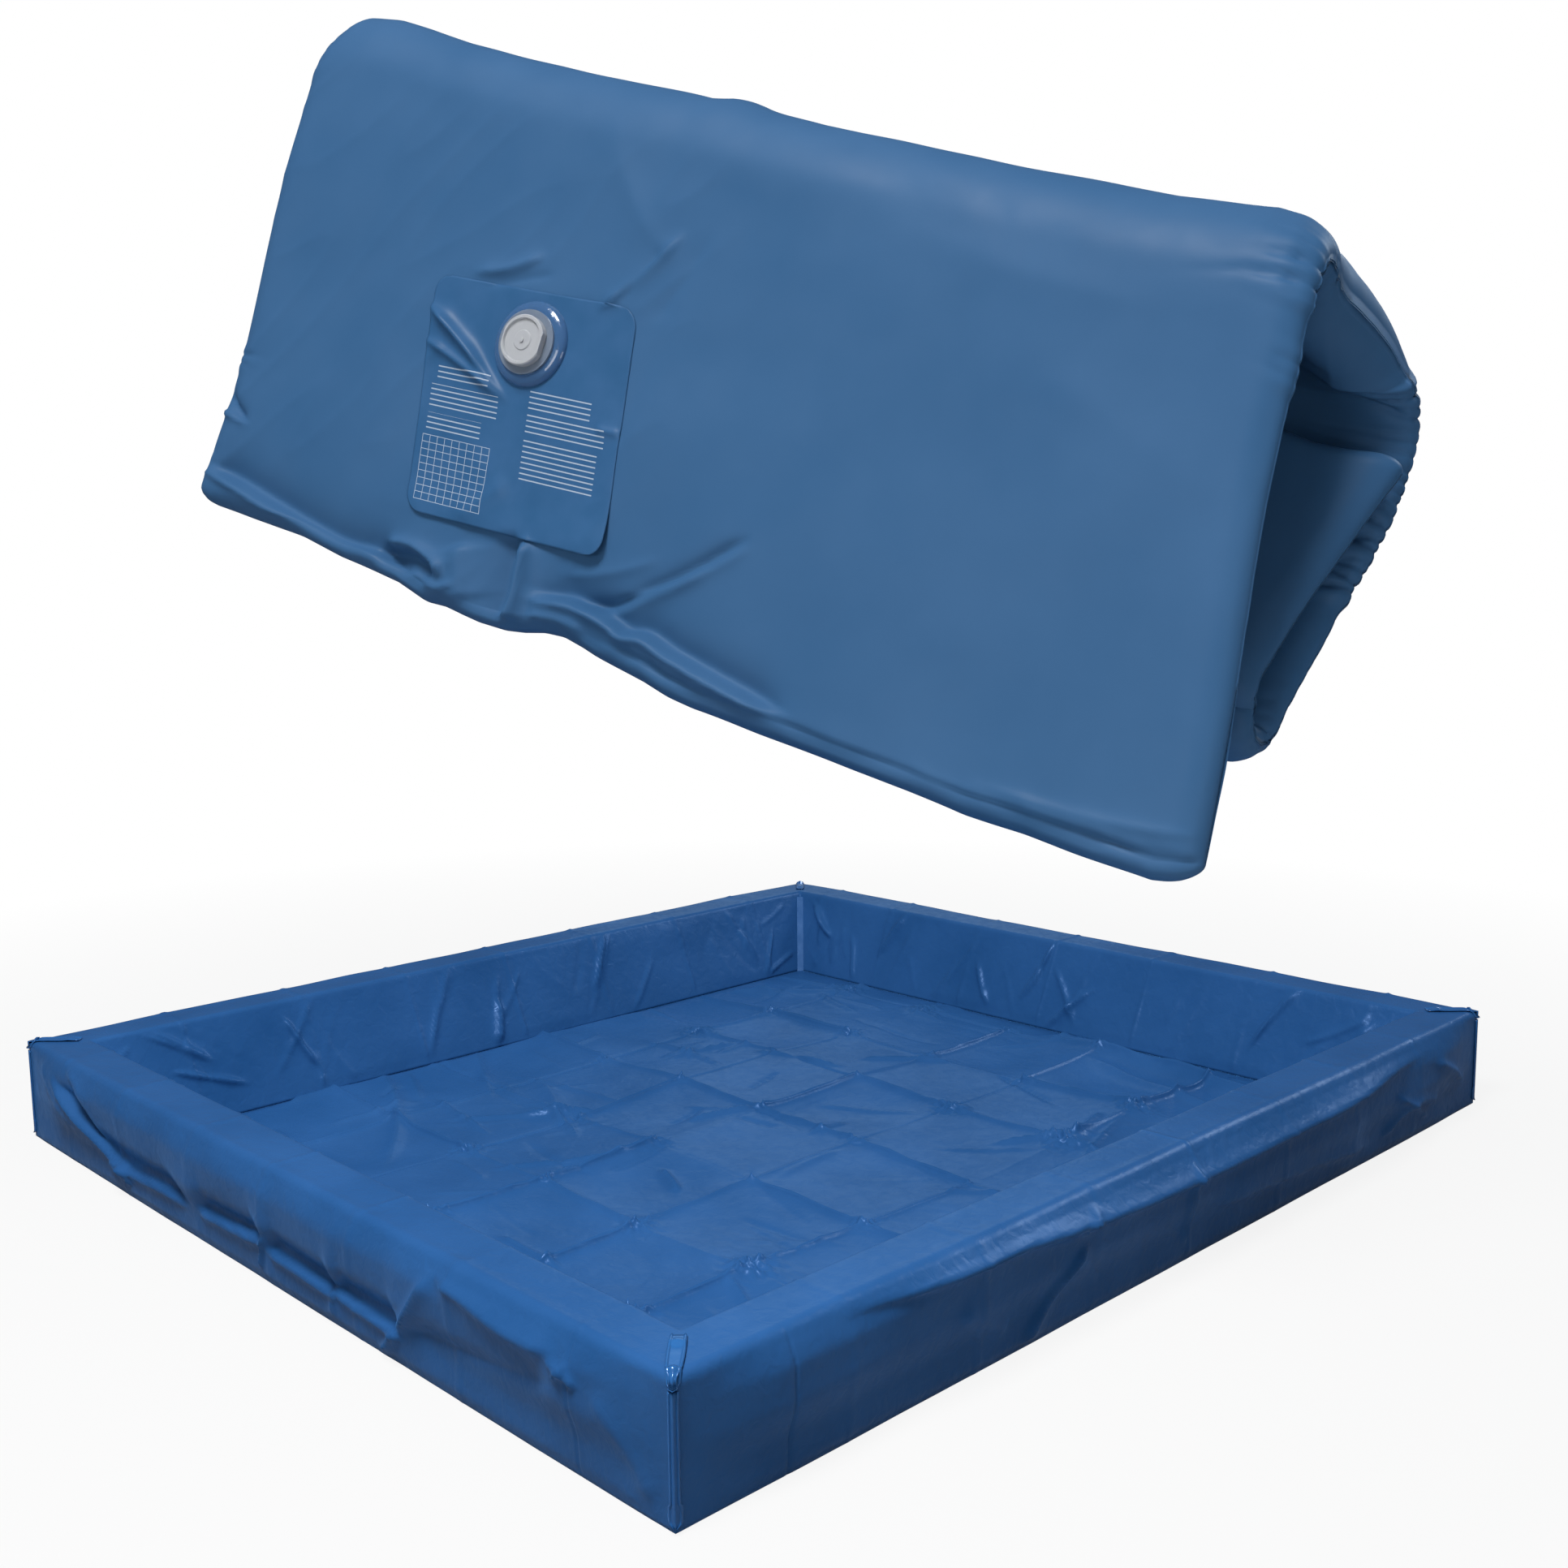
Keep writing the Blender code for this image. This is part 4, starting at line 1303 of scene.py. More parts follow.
@dataclass(frozen=True)
class Pleats:
    """A row of gathers across an edge: sharp valleys with puffed cloth between them."""

    start: float
    end: float
    pitch: float
    depth: float
    reach: float
    seed: int
    jitter: float = 0.28
    slant: float = 0.3
    valley_share: float = 0.24
    puff: float = 0.4

    def relief(self, along: Array, edge: Array) -> Array:
        """Return the gathers' height.

        Args:
            along: Distance along the edge.
            edge: Distance in from the edge.

        Returns:
            Heights in metres, mostly below zero.
        """
        draws = np.random.default_rng(self.seed)
        height = np.zeros_like(along)
        at_edge = 0.4 + 0.6 * ease(edge, 0.0, 0.03)
        for index in range(max(1, round((self.end - self.start) / self.pitch))):
            place = self.start + (index + 0.5 + draws.uniform(-self.jitter, self.jitter)) * self.pitch
            depth = self.depth * draws.uniform(0.35, 1.0)
            reach = self.reach * draws.uniform(0.35, 1.15)
            across = np.abs(along - place - draws.uniform(-self.slant, self.slant) * edge)
            width = self.pitch * self.valley_share * (1.0 + 1.2 * edge / reach)
            height -= depth * np.exp(-across / width) * np.exp(-(edge / reach) ** 1.6) * at_edge
        inside = ease(along, self.start - 0.02, self.start + 0.01) * ease(along, self.end + 0.02, self.end - 0.01)
        return height + inside * self.depth * self.puff * np.exp(-(edge / self.reach) ** 2)


@dataclass
class WaterCore:
    """The drained core, folded over a ridge, with its last panel turned back up inside."""

    place: Triple = (0.3745, -0.341, 1.8652)
    tilt_degrees: Triple = (-11.49, 14.82, 16.51)
    fold_depth: float = 0.47
    half_thickness: float = 0.033
    fleece_half_thickness: float = 0.008
    fleece_inset: float = 0.1
    fleece_step: int = 6
    edge_rounding: float = 0.052
    edge_thinnest: float = 0.015
    end_fill: float = 0.085
    turn_radius: float = 0.036
    turn_steps: int = 6
    run_rows: int = 1600
    mean_height: float = 0.974
    tip_points: int = 7
    top_share: float = 0.002
    bottom_share: float = 0.997
    valve: Pair = (-0.3, 0.442)
    calm_at_valve: Pair = (0.085, 0.15)
    # Where the end's filling starts and stops along the run, and how far it reaches in from the end
    fill_start: Pair = (0.86, 1.02)
    fill_stop: Pair = (1.36, 1.2)
    fill_reach: Pair = (0.34, 0.06)
    front_end: Pair = (0.8, 0.72)
    thickness_wave: float = 0.08
    # The left part's ripples, the creases low on the panel, and the hem with its groove and ripples
    left_part: Pair = (0.1, -0.05)
    left_ripple: float = 0.0018
    low_crease: float = 0.0022
    hem_part: Pair = (-0.02, 0.12)
    hem_height: float = 0.006
    hem_rise: float = 0.014
    groove_rise: float = 0.034
    groove_width: float = 0.006
    hem_ripple: float = 0.0035
    patch_drop: float = 0.559
    patch_middle: float = -0.285
    patch_lean: float = 0.19

    # Depth share, height share, and the left and right edges along the ridge in metres
    FRONT_TO_BACK = (
        (0.07, 0.965, -0.975, 1.066), (0.07, 0.74, -0.963, 1.035), (0.07, 0.44, -0.984, 0.985),
        (0.072, 0.19, -0.99, 0.958), (0.085, 0.105, -0.988, 0.948), (0.16, 0.05, -0.975, 0.942),
        (0.3, 0.036, -0.97, 0.952), (0.5, 0.04, -0.965, 0.982), (0.7, 0.062, -0.96, 1.022),
        (0.85, 0.11, -0.955, 1.052), (0.925, 0.2, -0.95, 1.076), (0.92, 0.34, -0.95, 1.08),
        (0.86, 0.48, -0.95, 1.064), (0.76, 0.62, -0.95, 1.052), (0.65, 0.735, -0.95, 1.042),
    )
    TURNED_UP = (
        (0.475, 0.665, -0.94, 1.012), (0.585, 0.54, -0.94, 1.028), (0.68, 0.4, -0.94, 1.06),
        (0.735, 0.285, -0.94, 1.09),
    )
    # Place along the ridge, and the drop of the ridge's crest and of the front panel's foot
    RIDGE_LINE = (
        (-1.0, -0.07), (-0.97, -0.086), (-0.93, -0.099), (-0.87, -0.103), (-0.8, -0.097), (-0.7, -0.085),
        (-0.5, -0.071), (-0.3, -0.059), (-0.145, -0.051), (-0.1, -0.056), (-0.05, -0.053), (0.0, -0.047),
        (0.08, -0.04), (0.3, -0.033), (0.5, -0.027), (0.7, -0.022), (0.8, -0.027), (0.85, -0.03),
        (0.9, -0.022), (0.95, -0.012), (1.1, -0.01),
    )
    FOOT_LINE = (
        (-1.0, 0.878), (-0.93, 0.882), (-0.8, 0.884), (-0.7, 0.888), (-0.6, 0.9), (-0.5, 0.906),
        (-0.45, 0.909), (-0.42, 0.916), (-0.38, 0.926), (-0.34, 0.924), (-0.3, 0.928), (-0.26, 0.931),
        (-0.2, 0.929), (-0.16, 0.922), (-0.12, 0.911), (-0.08, 0.907), (-0.03, 0.914), (0.0, 0.92),
        (0.1, 0.933), (0.15, 0.943), (0.2, 0.948), (0.4, 0.952), (0.6, 0.958), (0.7, 0.963),
        (0.8, 0.959), (1.00, 0.96), (1.04, 0.95), (1.1, 0.93),
    )
    # Distance along the run, or share across it, and the spacing of points there in metres
    RUN_SPACING = (
        (0.0, 0.005), (0.9, 0.0055), (1.0, 0.008), (1.2, 0.008), (1.27, 0.0045), (1.68, 0.0045), (1.78, 0.008),
        (1.86, 0.0045), (2.05, 0.005), (2.15, 0.01), (2.5, 0.007),
    )
    STATION_SPACING = (
        (0.0, 0.00075), (0.01, 0.002), (0.05, 0.0035), (0.62, 0.00375), (0.72, 0.006), (0.86, 0.0055),
        (0.93, 0.003), (0.98, 0.00175), (1.0, 0.00075),
    )
    RIGHT_GATHERS = (
        Pleats(0.685, 0.735, 0.024, 0.012, 0.035, 121), Pleats(0.36, 0.66, 0.1, 0.002, 0.05, 122),
        Pleats(0.8, 0.96, 0.02, 0.019, 0.085, 123), Pleats(0.97, 1.25, 0.06, 0.003, 0.06, 124),
        Pleats(1.25, 1.64, 0.02, 0.019, 0.16, 125), Pleats(1.66, 1.84, 0.032, 0.004, 0.06, 126),
        Pleats(1.86, 2.04, 0.024, 0.011, 0.075, 127), Pleats(2.08, 2.48, 0.055, 0.003, 0.05, 128),
    )
    LEFT_GATHERS = (
        Pleats(0.235, 0.265, 0.018, 0.01, 0.045, 131), Pleats(0.05, 0.2, 0.05, 0.003, 0.05, 132),
        Pleats(0.8, 0.92, 0.024, 0.006, 0.06, 133), Pleats(1.27, 1.62, 0.022, 0.006, 0.09, 134),
        Pleats(1.86, 2.04, 0.024, 0.008, 0.06, 135), Pleats(1.0, 1.2, 0.07, 0.002, 0.05, 136),
    )
    # Lines of creases on the front panel, as place along the ridge and drop
    HEM_LINE = (
        (-0.374, 0.925), (-0.414, 0.899), (-0.457, 0.873), (-0.51, 0.86), (-0.59, 0.862), (-0.682, 0.849),
        (-0.775, 0.833), (-0.869, 0.816), (-0.985, 0.8),
    )
    LIP_LINE = (
        (0.4, 0.9), (0.298, 0.885), (0.156, 0.861), (0.09, 0.845), (0.052, 0.851), (0.011, 0.838),
        (-0.063, 0.829), (-0.132, 0.838), (-0.175, 0.83),
    )
    DEEP_LINE = ((-0.219, 0.745), (-0.212, 0.8), (-0.206, 0.874), (-0.222, 0.95))
    RISING_LINE = ((-0.07, 0.836), (0.005, 0.821), (0.061, 0.784), (0.135, 0.729), (0.23, 0.645))
    FRONT_FOLDS = (
        Fold((-0.46, 0.345), (-0.33, 0.29), 0.009, 0.01, 0.008),
        Fold((-0.43, 0.365), (-0.3, 0.318), 0.007, -0.007),
        Fold((-0.19, 0.365), (-0.07, 0.21), 0.01, 0.012, 0.006),
        Fold((-0.155, 0.345), (-0.095, 0.23), 0.007, -0.007),
        Fold((-0.28, 0.02), (-0.1, 0.24), 0.03, 0.006, 0.02),
        Fold((-0.1, 0.4), (-0.02, 0.2), 0.016, -0.004, 0.01),
        Fold((-0.1, 0.8), (0.07, 0.73), 0.009, 0.005, 0.01),
        Fold((0.02, 0.8), (0.17, 0.72), 0.008, 0.006, 0.012),
        *Crease(HEM_LINE, 0.0085, -0.022, 3.5).with_crest((0.0, 0.019), 0.009, 0.017),
        *Crease(LIP_LINE, 0.0085, -0.022, 3.0).with_crest((0.0, 0.02), 0.01, 0.021),
        *Crease(DEEP_LINE, 0.0085, -0.021, 3.5).with_crest((0.028, 0.0), 0.012, 0.026),
        *Crease(RISING_LINE, 0.007, -0.012, 2.0).with_crest((0.012, 0.014), 0.009, 0.008),
        Crease(((-0.51, 0.862), (-0.44, 0.85), (-0.397, 0.858), (-0.352, 0.88)), 0.0085, -0.022, 2.5),
        Crease(((-0.5, 0.842), (-0.43, 0.834), (-0.37, 0.846), (-0.33, 0.872)), 0.008, 0.019, 1.5),
        Crease(((-0.44, 0.895), (-0.4, 0.88), (-0.345, 0.89), (-0.3, 0.87)), 0.006, 0.01),
        Crease(((-0.33, 0.8), (-0.31, 0.85), (-0.29, 0.905)), 0.026, 0.013),
        Crease(((-0.15, 0.89), (-0.072, 0.876), (-0.02, 0.884)), 0.011, 0.01, 1.6),
        Crease(((-0.11, 0.905), (-0.05, 0.893), (0.03, 0.902)), 0.007, -0.006),
        Fold((-0.985, 0.655), (-0.885, 0.712), 0.008, -0.014),
        Fold((-0.985, 0.7), (-0.88, 0.715), 0.005, 0.009),
        Fold((0.62, 0.3), (0.92, 0.42), 0.05, 0.004),
        Fold((0.25, 0.1), (0.75, 0.17), 0.05, 0.004, 0.02),
        Fold((0.55, 0.925), (0.95, 0.905), 0.008, 0.004, 0.006),
        Fold((0.72, 0.905), (1.05, 0.875), 0.008, 0.005, 0.01),
        Fold((0.88, 0.93), (1.05, 0.905), 0.005, -0.004, 0.004),
    )
    # Waves of the front panel, and of all the rest of the skin
    FRONT_WAVES = (Ripple(0.006, 0.46, 0.36, 101), Ripple(0.0016, 0.17, 0.15, 102))
    OTHER_WAVES = (Ripple(0.004, 0.36, 0.3, 113), Ripple(0.0016, 0.13, 0.11, 114))
    # The pinched spot on the ridge: height, then its middle and reach along the ridge and along the run
    RIDGE_PINCH = (0.006, -0.075, 0.035, 0.97, 0.08)

    def world(self) -> Matrix:
        """Return the matrix from the core's own frame to the world."""
        turn = Euler([math.radians(a) for a in self.tilt_degrees]).to_matrix().to_4x4()
        return Matrix.Translation(self.place) @ turn

    def centreline(self) -> Array:
        """Return the middle line of the folded slab, seen along the ridge.

        Returns:
            Rows of depth, height share, left edge, right edge and distance along the run.
        """
        first = [(u * self.fold_depth, v * self.mean_height, a, b) for u, v, a, b in self.FRONT_TO_BACK]
        last = [(u * self.fold_depth, v * self.mean_height, a, b) for u, v, a, b in self.TURNED_UP]
        leave = Vector((first[-1][0] - first[-2][0], first[-1][1] - first[-2][1])).normalized()
        side = Vector((-leave.y, leave.x)) * self.turn_radius
        centre = Vector(first[-1][:2]) + side
        start = math.atan2(-side.y, -side.x)
        turn = []
        for step in range(1, self.turn_steps + 1):
            angle = start + math.pi * step / self.turn_steps
            turn.append((
                centre.x + self.turn_radius * math.cos(angle), centre.y + self.turn_radius * math.sin(angle),
                first[-1][2], first[-1][3] + (last[0][3] - first[-1][3]) * step / self.turn_steps,
            ))
        rows = smooth_run(first + turn + last, self.run_rows)
        run = np.concatenate(([0.0], np.cumsum(np.linalg.norm(np.diff(rows[:, :2], axis=0), axis=1))))
        wanted = spaced(self.RUN_SPACING, run[-1])
        table = np.stack([np.interp(wanted, run, rows[:, k]) for k in range(4)] + [wanted], axis=1)
        table[:, 1] /= self.mean_height
        return table

    def front_relief(self, x: Array, drop: Array, foot: Array) -> Array:
        """Return how far the front panel's face stands out of its plane.

        Args:
            x: Place along the ridge.
            drop: Distance down from the panel's top line.
            foot: Drop of the panel's foot at that place.

        Returns:
            Heights towards the viewer of the panel.
        """
        relief = total_relief(self.FRONT_WAVES, x, drop)
        left = ease(x, *self.left_part)
        relief += left * self.left_ripple * ridged(x / 0.12 + drop / 0.18, drop / 0.34, 103, 5.0)
        low = ease(drop, foot - 0.2, foot - 0.05) * ease(x, 0.42, -0.05) * ease(x, -0.72, -0.45)
        relief += low * self.low_crease * (ridged(x / 0.065 + drop / 0.25, drop / 0.12, 104, 3.0) - 0.3)
        rise = foot - drop
        hem = ease(x, *self.hem_part)
        line = self.groove_rise + 0.005 * noise(x / 0.2, x * 0.0, 106)
        groove = 1.5 * bell(rise, 1.0, line, self.groove_width)
        relief += hem * self.hem_height * (bell(rise, 1.0, self.hem_rise, self.hem_rise) - groove)
        ripple = ridged(x / 0.1 - drop / 0.1, drop / 0.22, 105, 4.0)
        relief += hem * self.hem_ripple * ripple * ease(rise, 0.085, 0.02)
        relief += total_relief(self.FRONT_FOLDS, x, drop)
        below = drop - self.patch_drop
        across = np.abs(x - self.patch_middle + self.patch_lean * below)
        patch = ease(across, 0.24, 0.2) * ease(np.abs(below), 0.23, 0.19)
        calm = ease(np.hypot(x - self.valve[0], drop - self.valve[1]), *self.calm_at_valve)
        return relief * (1.0 - 0.8 * patch) * calm

    def end_closing(self, end: Array, across: Array, along: Array, thick: float) -> Array:
        """Return the points that round off one end of the section, from one face of the slab to the other."""
        angles = math.pi * np.arange(1, self.tip_points + 1)[:, None] / (self.tip_points + 1)
        return end - across * thick * np.cos(angles) + along * thick * 0.8 * np.sin(angles)

    def loft(self, half_thickness: float, inset: float) -> tuple[Array, Array, int]:
        """Return the folded slab's rings before any wrinkles.

        Args:
            half_thickness: Half of the slab's thickness.
            inset: How far its edges stay inside the core's.

        Returns:
            Positions by station and place round the section, the facts of each point
            (distance along the run, foot, distance to the side edge, and the side's sign),
            and the number of outer points.
        """
        line = self.centreline()
        line = line[(line[:, 4] >= inset) & (line[:, 4] <= line[-1, 4] - inset)]
        count = len(line)
        run = line[:, 4]
        shares = spaced(self.STATION_SPACING, 1.0)
        order = np.concatenate((
            np.arange(count), np.full(self.tip_points, count - 1), np.arange(count)[::-1],
            np.zeros(self.tip_points, int)))
        rings = np.zeros((len(shares), len(order), 3))
        facts = np.zeros((len(shares), len(order), 4))
        left = line[:, 2] + inset
        width = line[:, 3] - inset - left
        level = (line[:, 1] - self.top_share) / (self.bottom_share - self.top_share)
        front = ease(run, *self.front_end)
        for number, share in enumerate(shares):
            x = left + width * share
            crest = np.interp(x, *np.array(self.RIDGE_LINE).T)
            foot = np.interp(x, *np.array(self.FOOT_LINE).T)
            section = np.stack((line[:, 0], crest + level * (foot - crest)), axis=1)
            along = np.gradient(section, axis=0)
            along /= np.linalg.norm(along, axis=1)[:, None]
            across = np.stack((-along[:, 1], along[:, 0]), axis=1)
            edge = np.minimum(share, 1.0 - share) * width
            fill = self.end_fill * half_thickness / self.half_thickness * ease(run, *self.fill_start)
            fill = fill * ease(run, *self.fill_stop) * ease((1.0 - share) * width, *self.fill_reach)
            section = section + across * fill[:, None] * 0.5
            reach = np.clip(edge / (self.edge_rounding + 0.35 * fill), 0.0, 1.0)
            rounding = self.edge_thinnest + (1.0 - self.edge_thinnest) * np.sqrt(1.0 - (1.0 - reach) ** 2)
            thick = (half_thickness + fill * 0.5) * rounding
            thick = thick * (1.0 + self.thickness_wave * (1.0 - front) * noise(x / 0.3, run / 0.28, 112))
            outer = section - across * thick[:, None]
            outer[:, 0] = outer[:, 0] * (1 - front) + (line[:, 0] - thick) * front
            inner = section + across * thick[:, None]
            tip = self.end_closing(section[-1], across[-1], along[-1], thick[-1])
            heel = self.end_closing(section[0], -across[0], -along[0], thick[0])
            flat = np.vstack((outer, tip, inner[::-1], heel))
            rings[number] = np.stack((x[order], flat[:, 0], -flat[:, 1]), axis=1)
            way = np.full(len(order), 1.0 if share > 0.5 else -1.0)
            facts[number] = np.stack((run[order], foot[order], edge[order], way), axis=1)
        return rings, facts, count

    def closed_faces(self, stations: int, around: int, count: int) -> list[tuple[int, ...]]:
        """Return the slab's faces with its two narrow sides closed.

        Args:
            stations: Number of stations along the ridge.
            around: Number of points round the section.
            count: Number of points on the outer side.

        Returns:
            Faces, of which the sides are strips between the outer and inner points.
        """
        faces = grid_faces(stations, around, wrap=True)
        for base in (0, (stations - 1) * around):
            facing = base + around - self.tip_points - 1
            side = [(base + k, base + k + 1, facing - 1 - k, facing - k) for k in range(count - 1)]
            side.append(tuple(base + count - 1 + k for k in range(self.tip_points + 2)))
            side.append(tuple([facing + k for k in range(self.tip_points + 1)] + [base]))
            faces.extend(face[::-1] for face in side) if base else faces.extend(side)
        return faces

    def relief(self, rings: Array, facts: Array, count: int) -> Array:
        """Return the offset of every point of the folded slab.

        Args:
            rings: Smooth positions by station and place round the section.
            facts: Facts of each point, as loft gives them.
            count: Number of points on the outer side.

        Returns:
            Offsets in the core's frame.
        """
        ahead = np.roll(rings, -1, axis=1) - np.roll(rings, 1, axis=1)
        normal = np.cross(ahead, np.gradient(rings, axis=0))
        normal /= np.maximum(np.linalg.norm(normal, axis=2), 1e-9)[:, :, None]
        if normal[len(rings) // 2, count // 5, 1] > 0:
            normal = -normal
        run, foot, edge, side = np.moveaxis(facts, 2, 0)
        x = rings[:, :, 0]
        drop = -rings[:, :, 2]
        outside = (np.arange(rings.shape[1])[None, :] < count).astype(float)
        front = outside * ease(run, 0.86, 0.74)
        height = front * self.front_relief(x, drop, foot) * ease(edge, 0.0, 0.02)
        height += (1.0 - front) * total_relief(self.OTHER_WAVES, x, run)
        for gathers, way in ((self.RIGHT_GATHERS, 1.0), (self.LEFT_GATHERS, -1.0)):
            chosen = side == way
            for row in gathers:
                height[chosen] += row.relief(run[chosen], edge[chosen])
        pinch, middle, reach, run_middle, run_reach = self.RIDGE_PINCH
        bump = bell(x, 1.0, middle, reach) * outside * bell(run, 1.0, run_middle, run_reach)
        return normal * (height + pinch * bump)[:, :, None]

    def add_form(self, name: str, rings: Array, count: int) -> bpy.types.Object:
        """Add a closed mesh in its place in the world.

        Args:
            name: Object name.
            rings: Positions by station and place round the section.
            count: Number of points on the outer side.

        Returns:
            The object, with its faces turned outwards.
        """
        obj = mesh_object(name, rings.reshape(-1, 3), self.closed_faces(*rings.shape[:2], count))
        obj.data.transform(self.world())
        shape = bmesh.new()
        shape.from_mesh(obj.data)
        if shape.calc_volume(signed=True) < 0:
            bmesh.ops.reverse_faces(shape, faces=shape.faces)
        shape.to_mesh(obj.data)
        shape.free()
        obj.data.shade_smooth()
        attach(obj, "core")
        return obj

    def build(self, vinyl: Material, fleece: Material) -> None:
        """Build the bladder and the fleece folded inside it.

        Args:
            vinyl: Material of the bladder.
            fleece: Material of the fleece.
        """
        rings, facts, count = self.loft(self.half_thickness, 0.0)
        rings += self.relief(rings, facts, count)
        skin = self.add_form("core_bladder_skin", rings, count)
        dress(skin, vinyl)
        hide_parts("core_bladder")
        rings, _, count = self.loft(self.fleece_half_thickness, self.fleece_inset)
        batts = self.add_form("core_fleece_batts", rings[::self.fleece_step], count)
        dress(batts, fleece)
        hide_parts("core_fleece")
        LOG.info("water core: %d faces, and its fleece", len(skin.data.polygons))


@dataclass
class LabelPatch:
    """The thin patch that carries the valve, with plain printed bars and an empty grid."""

    width: float = 0.432
    height: float = 0.415
    corner_radius: float = 0.035
    lean_degrees: float = 11.0
    turn_degrees: float = 2.4
    valve_above: float = 0.117
    calm_at_valve: Pair = (0.08, 0.12)
    thickness: float = 0.0008
    stand_off: float = 0.0016
    corner_lift: float = 0.01
    foot_lift: float = 0.004
    columns: int = 120
    rows: int = 116

    # The folds in the patch, as distances right of its middle and above it
    FOLDS = (
        Fold((-0.222, 0.15), (-0.035, 0.02), 0.01, 0.021, 0.006),
        Fold((-0.222, 0.09), (-0.05, 0.022), 0.007, 0.011, 0.004),
        Fold((0.165, 0.0), (0.215, 0.0), 0.006, 0.005),
        Fold((-0.1, -0.205), (0.0, -0.12), 0.02, 0.006),
    )

    def sheet_point(self, core: WaterCore, a: Array, b: Array) -> tuple[Array, Array]:
        """Return where points of the flat patch lie on the front panel.

        Args:
            core: The core the patch is welded to.
            a: Distance right of the patch's middle.
            b: Distance above the patch's middle.

        Returns:
            Place along the ridge, and drop.
        """
        lean = math.tan(math.radians(self.lean_degrees))
        turn = math.tan(math.radians(self.turn_degrees))
        return a - b * lean + core.patch_middle, core.patch_drop - (b + a * turn)

    def stand(self, a: Array, b: Array) -> Array:
        """Return how far the patch stands off the panel.

        Args:
            a: Distance right of the patch's middle.
            b: Distance above the patch's middle.

        Returns:
            Distances off the panel's face.
        """
        lift = self.corner_lift * ease(a, 0.05, 0.21) * ease(b, -0.1, -0.2)
        lift = lift + self.foot_lift * ease(b, -0.14, -0.205)
        calm = ease(np.hypot(a, b - self.valve_above), *self.calm_at_valve)
        return self.stand_off + calm * (lift + np.maximum(total_relief(self.FOLDS, a, b), 0.0))

    def rounded(self, grid_a: Array, grid_b: Array) -> tuple[Array, Array]:
        """Return a grid squeezed into the patch's rounded outline.

        Args:
            grid_a: Shares of the half width, from -1 to 1.
            grid_b: Shares of the half height, from -1 to 1.

        Returns:
            Distances right of the patch's middle and above it.
        """
        half_a, half_b, radius = self.width * 0.5, self.height * 0.5, self.corner_radius
        b = grid_b * half_b
        over = np.clip(np.abs(b) - (half_b - radius), 0.0, radius)
        return grid_a * (half_a - radius + np.sqrt(np.maximum(radius ** 2 - over ** 2, 0.0))), b

    def build(self, core: WaterCore, vinyl: Material) -> None:
        """Build the patch on the core's front panel.

        Args:
            core: The core it is welded to.
            vinyl: Material of the patch.
        """
        a, b = self.rounded(*np.meshgrid(np.linspace(-1.0, 1.0, self.columns), np.linspace(-1.0, 1.0, self.rows)))
        x, drop = self.sheet_point(core, a, b)
        foot = np.interp(x, *np.array(core.FOOT_LINE).T)
        depth = -core.front_relief(x, drop, foot) - self.stand(a, b)
        points = np.stack((x, depth, -drop), axis=-1).reshape(-1, 3)
        patch = mesh_object("label_patch_sheet", points, grid_faces(self.rows, self.columns))
        flat_places = patch.data.attributes.new("flat", "FLOAT_VECTOR", "POINT")
        flat = np.stack((a, b, np.zeros_like(a)), axis=-1).astype(np.float32)
        flat_places.data.foreach_set("vector", flat.reshape(-1))
        patch.data.transform(core.world())
        patch.data.update()
        dress(patch, vinyl)
        add_film(patch, self.thickness, 0.0)
        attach(patch, "core")
        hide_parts("label_patch")
        LOG.info("label patch: flat %.3f by %.3f m", self.width, self.height)


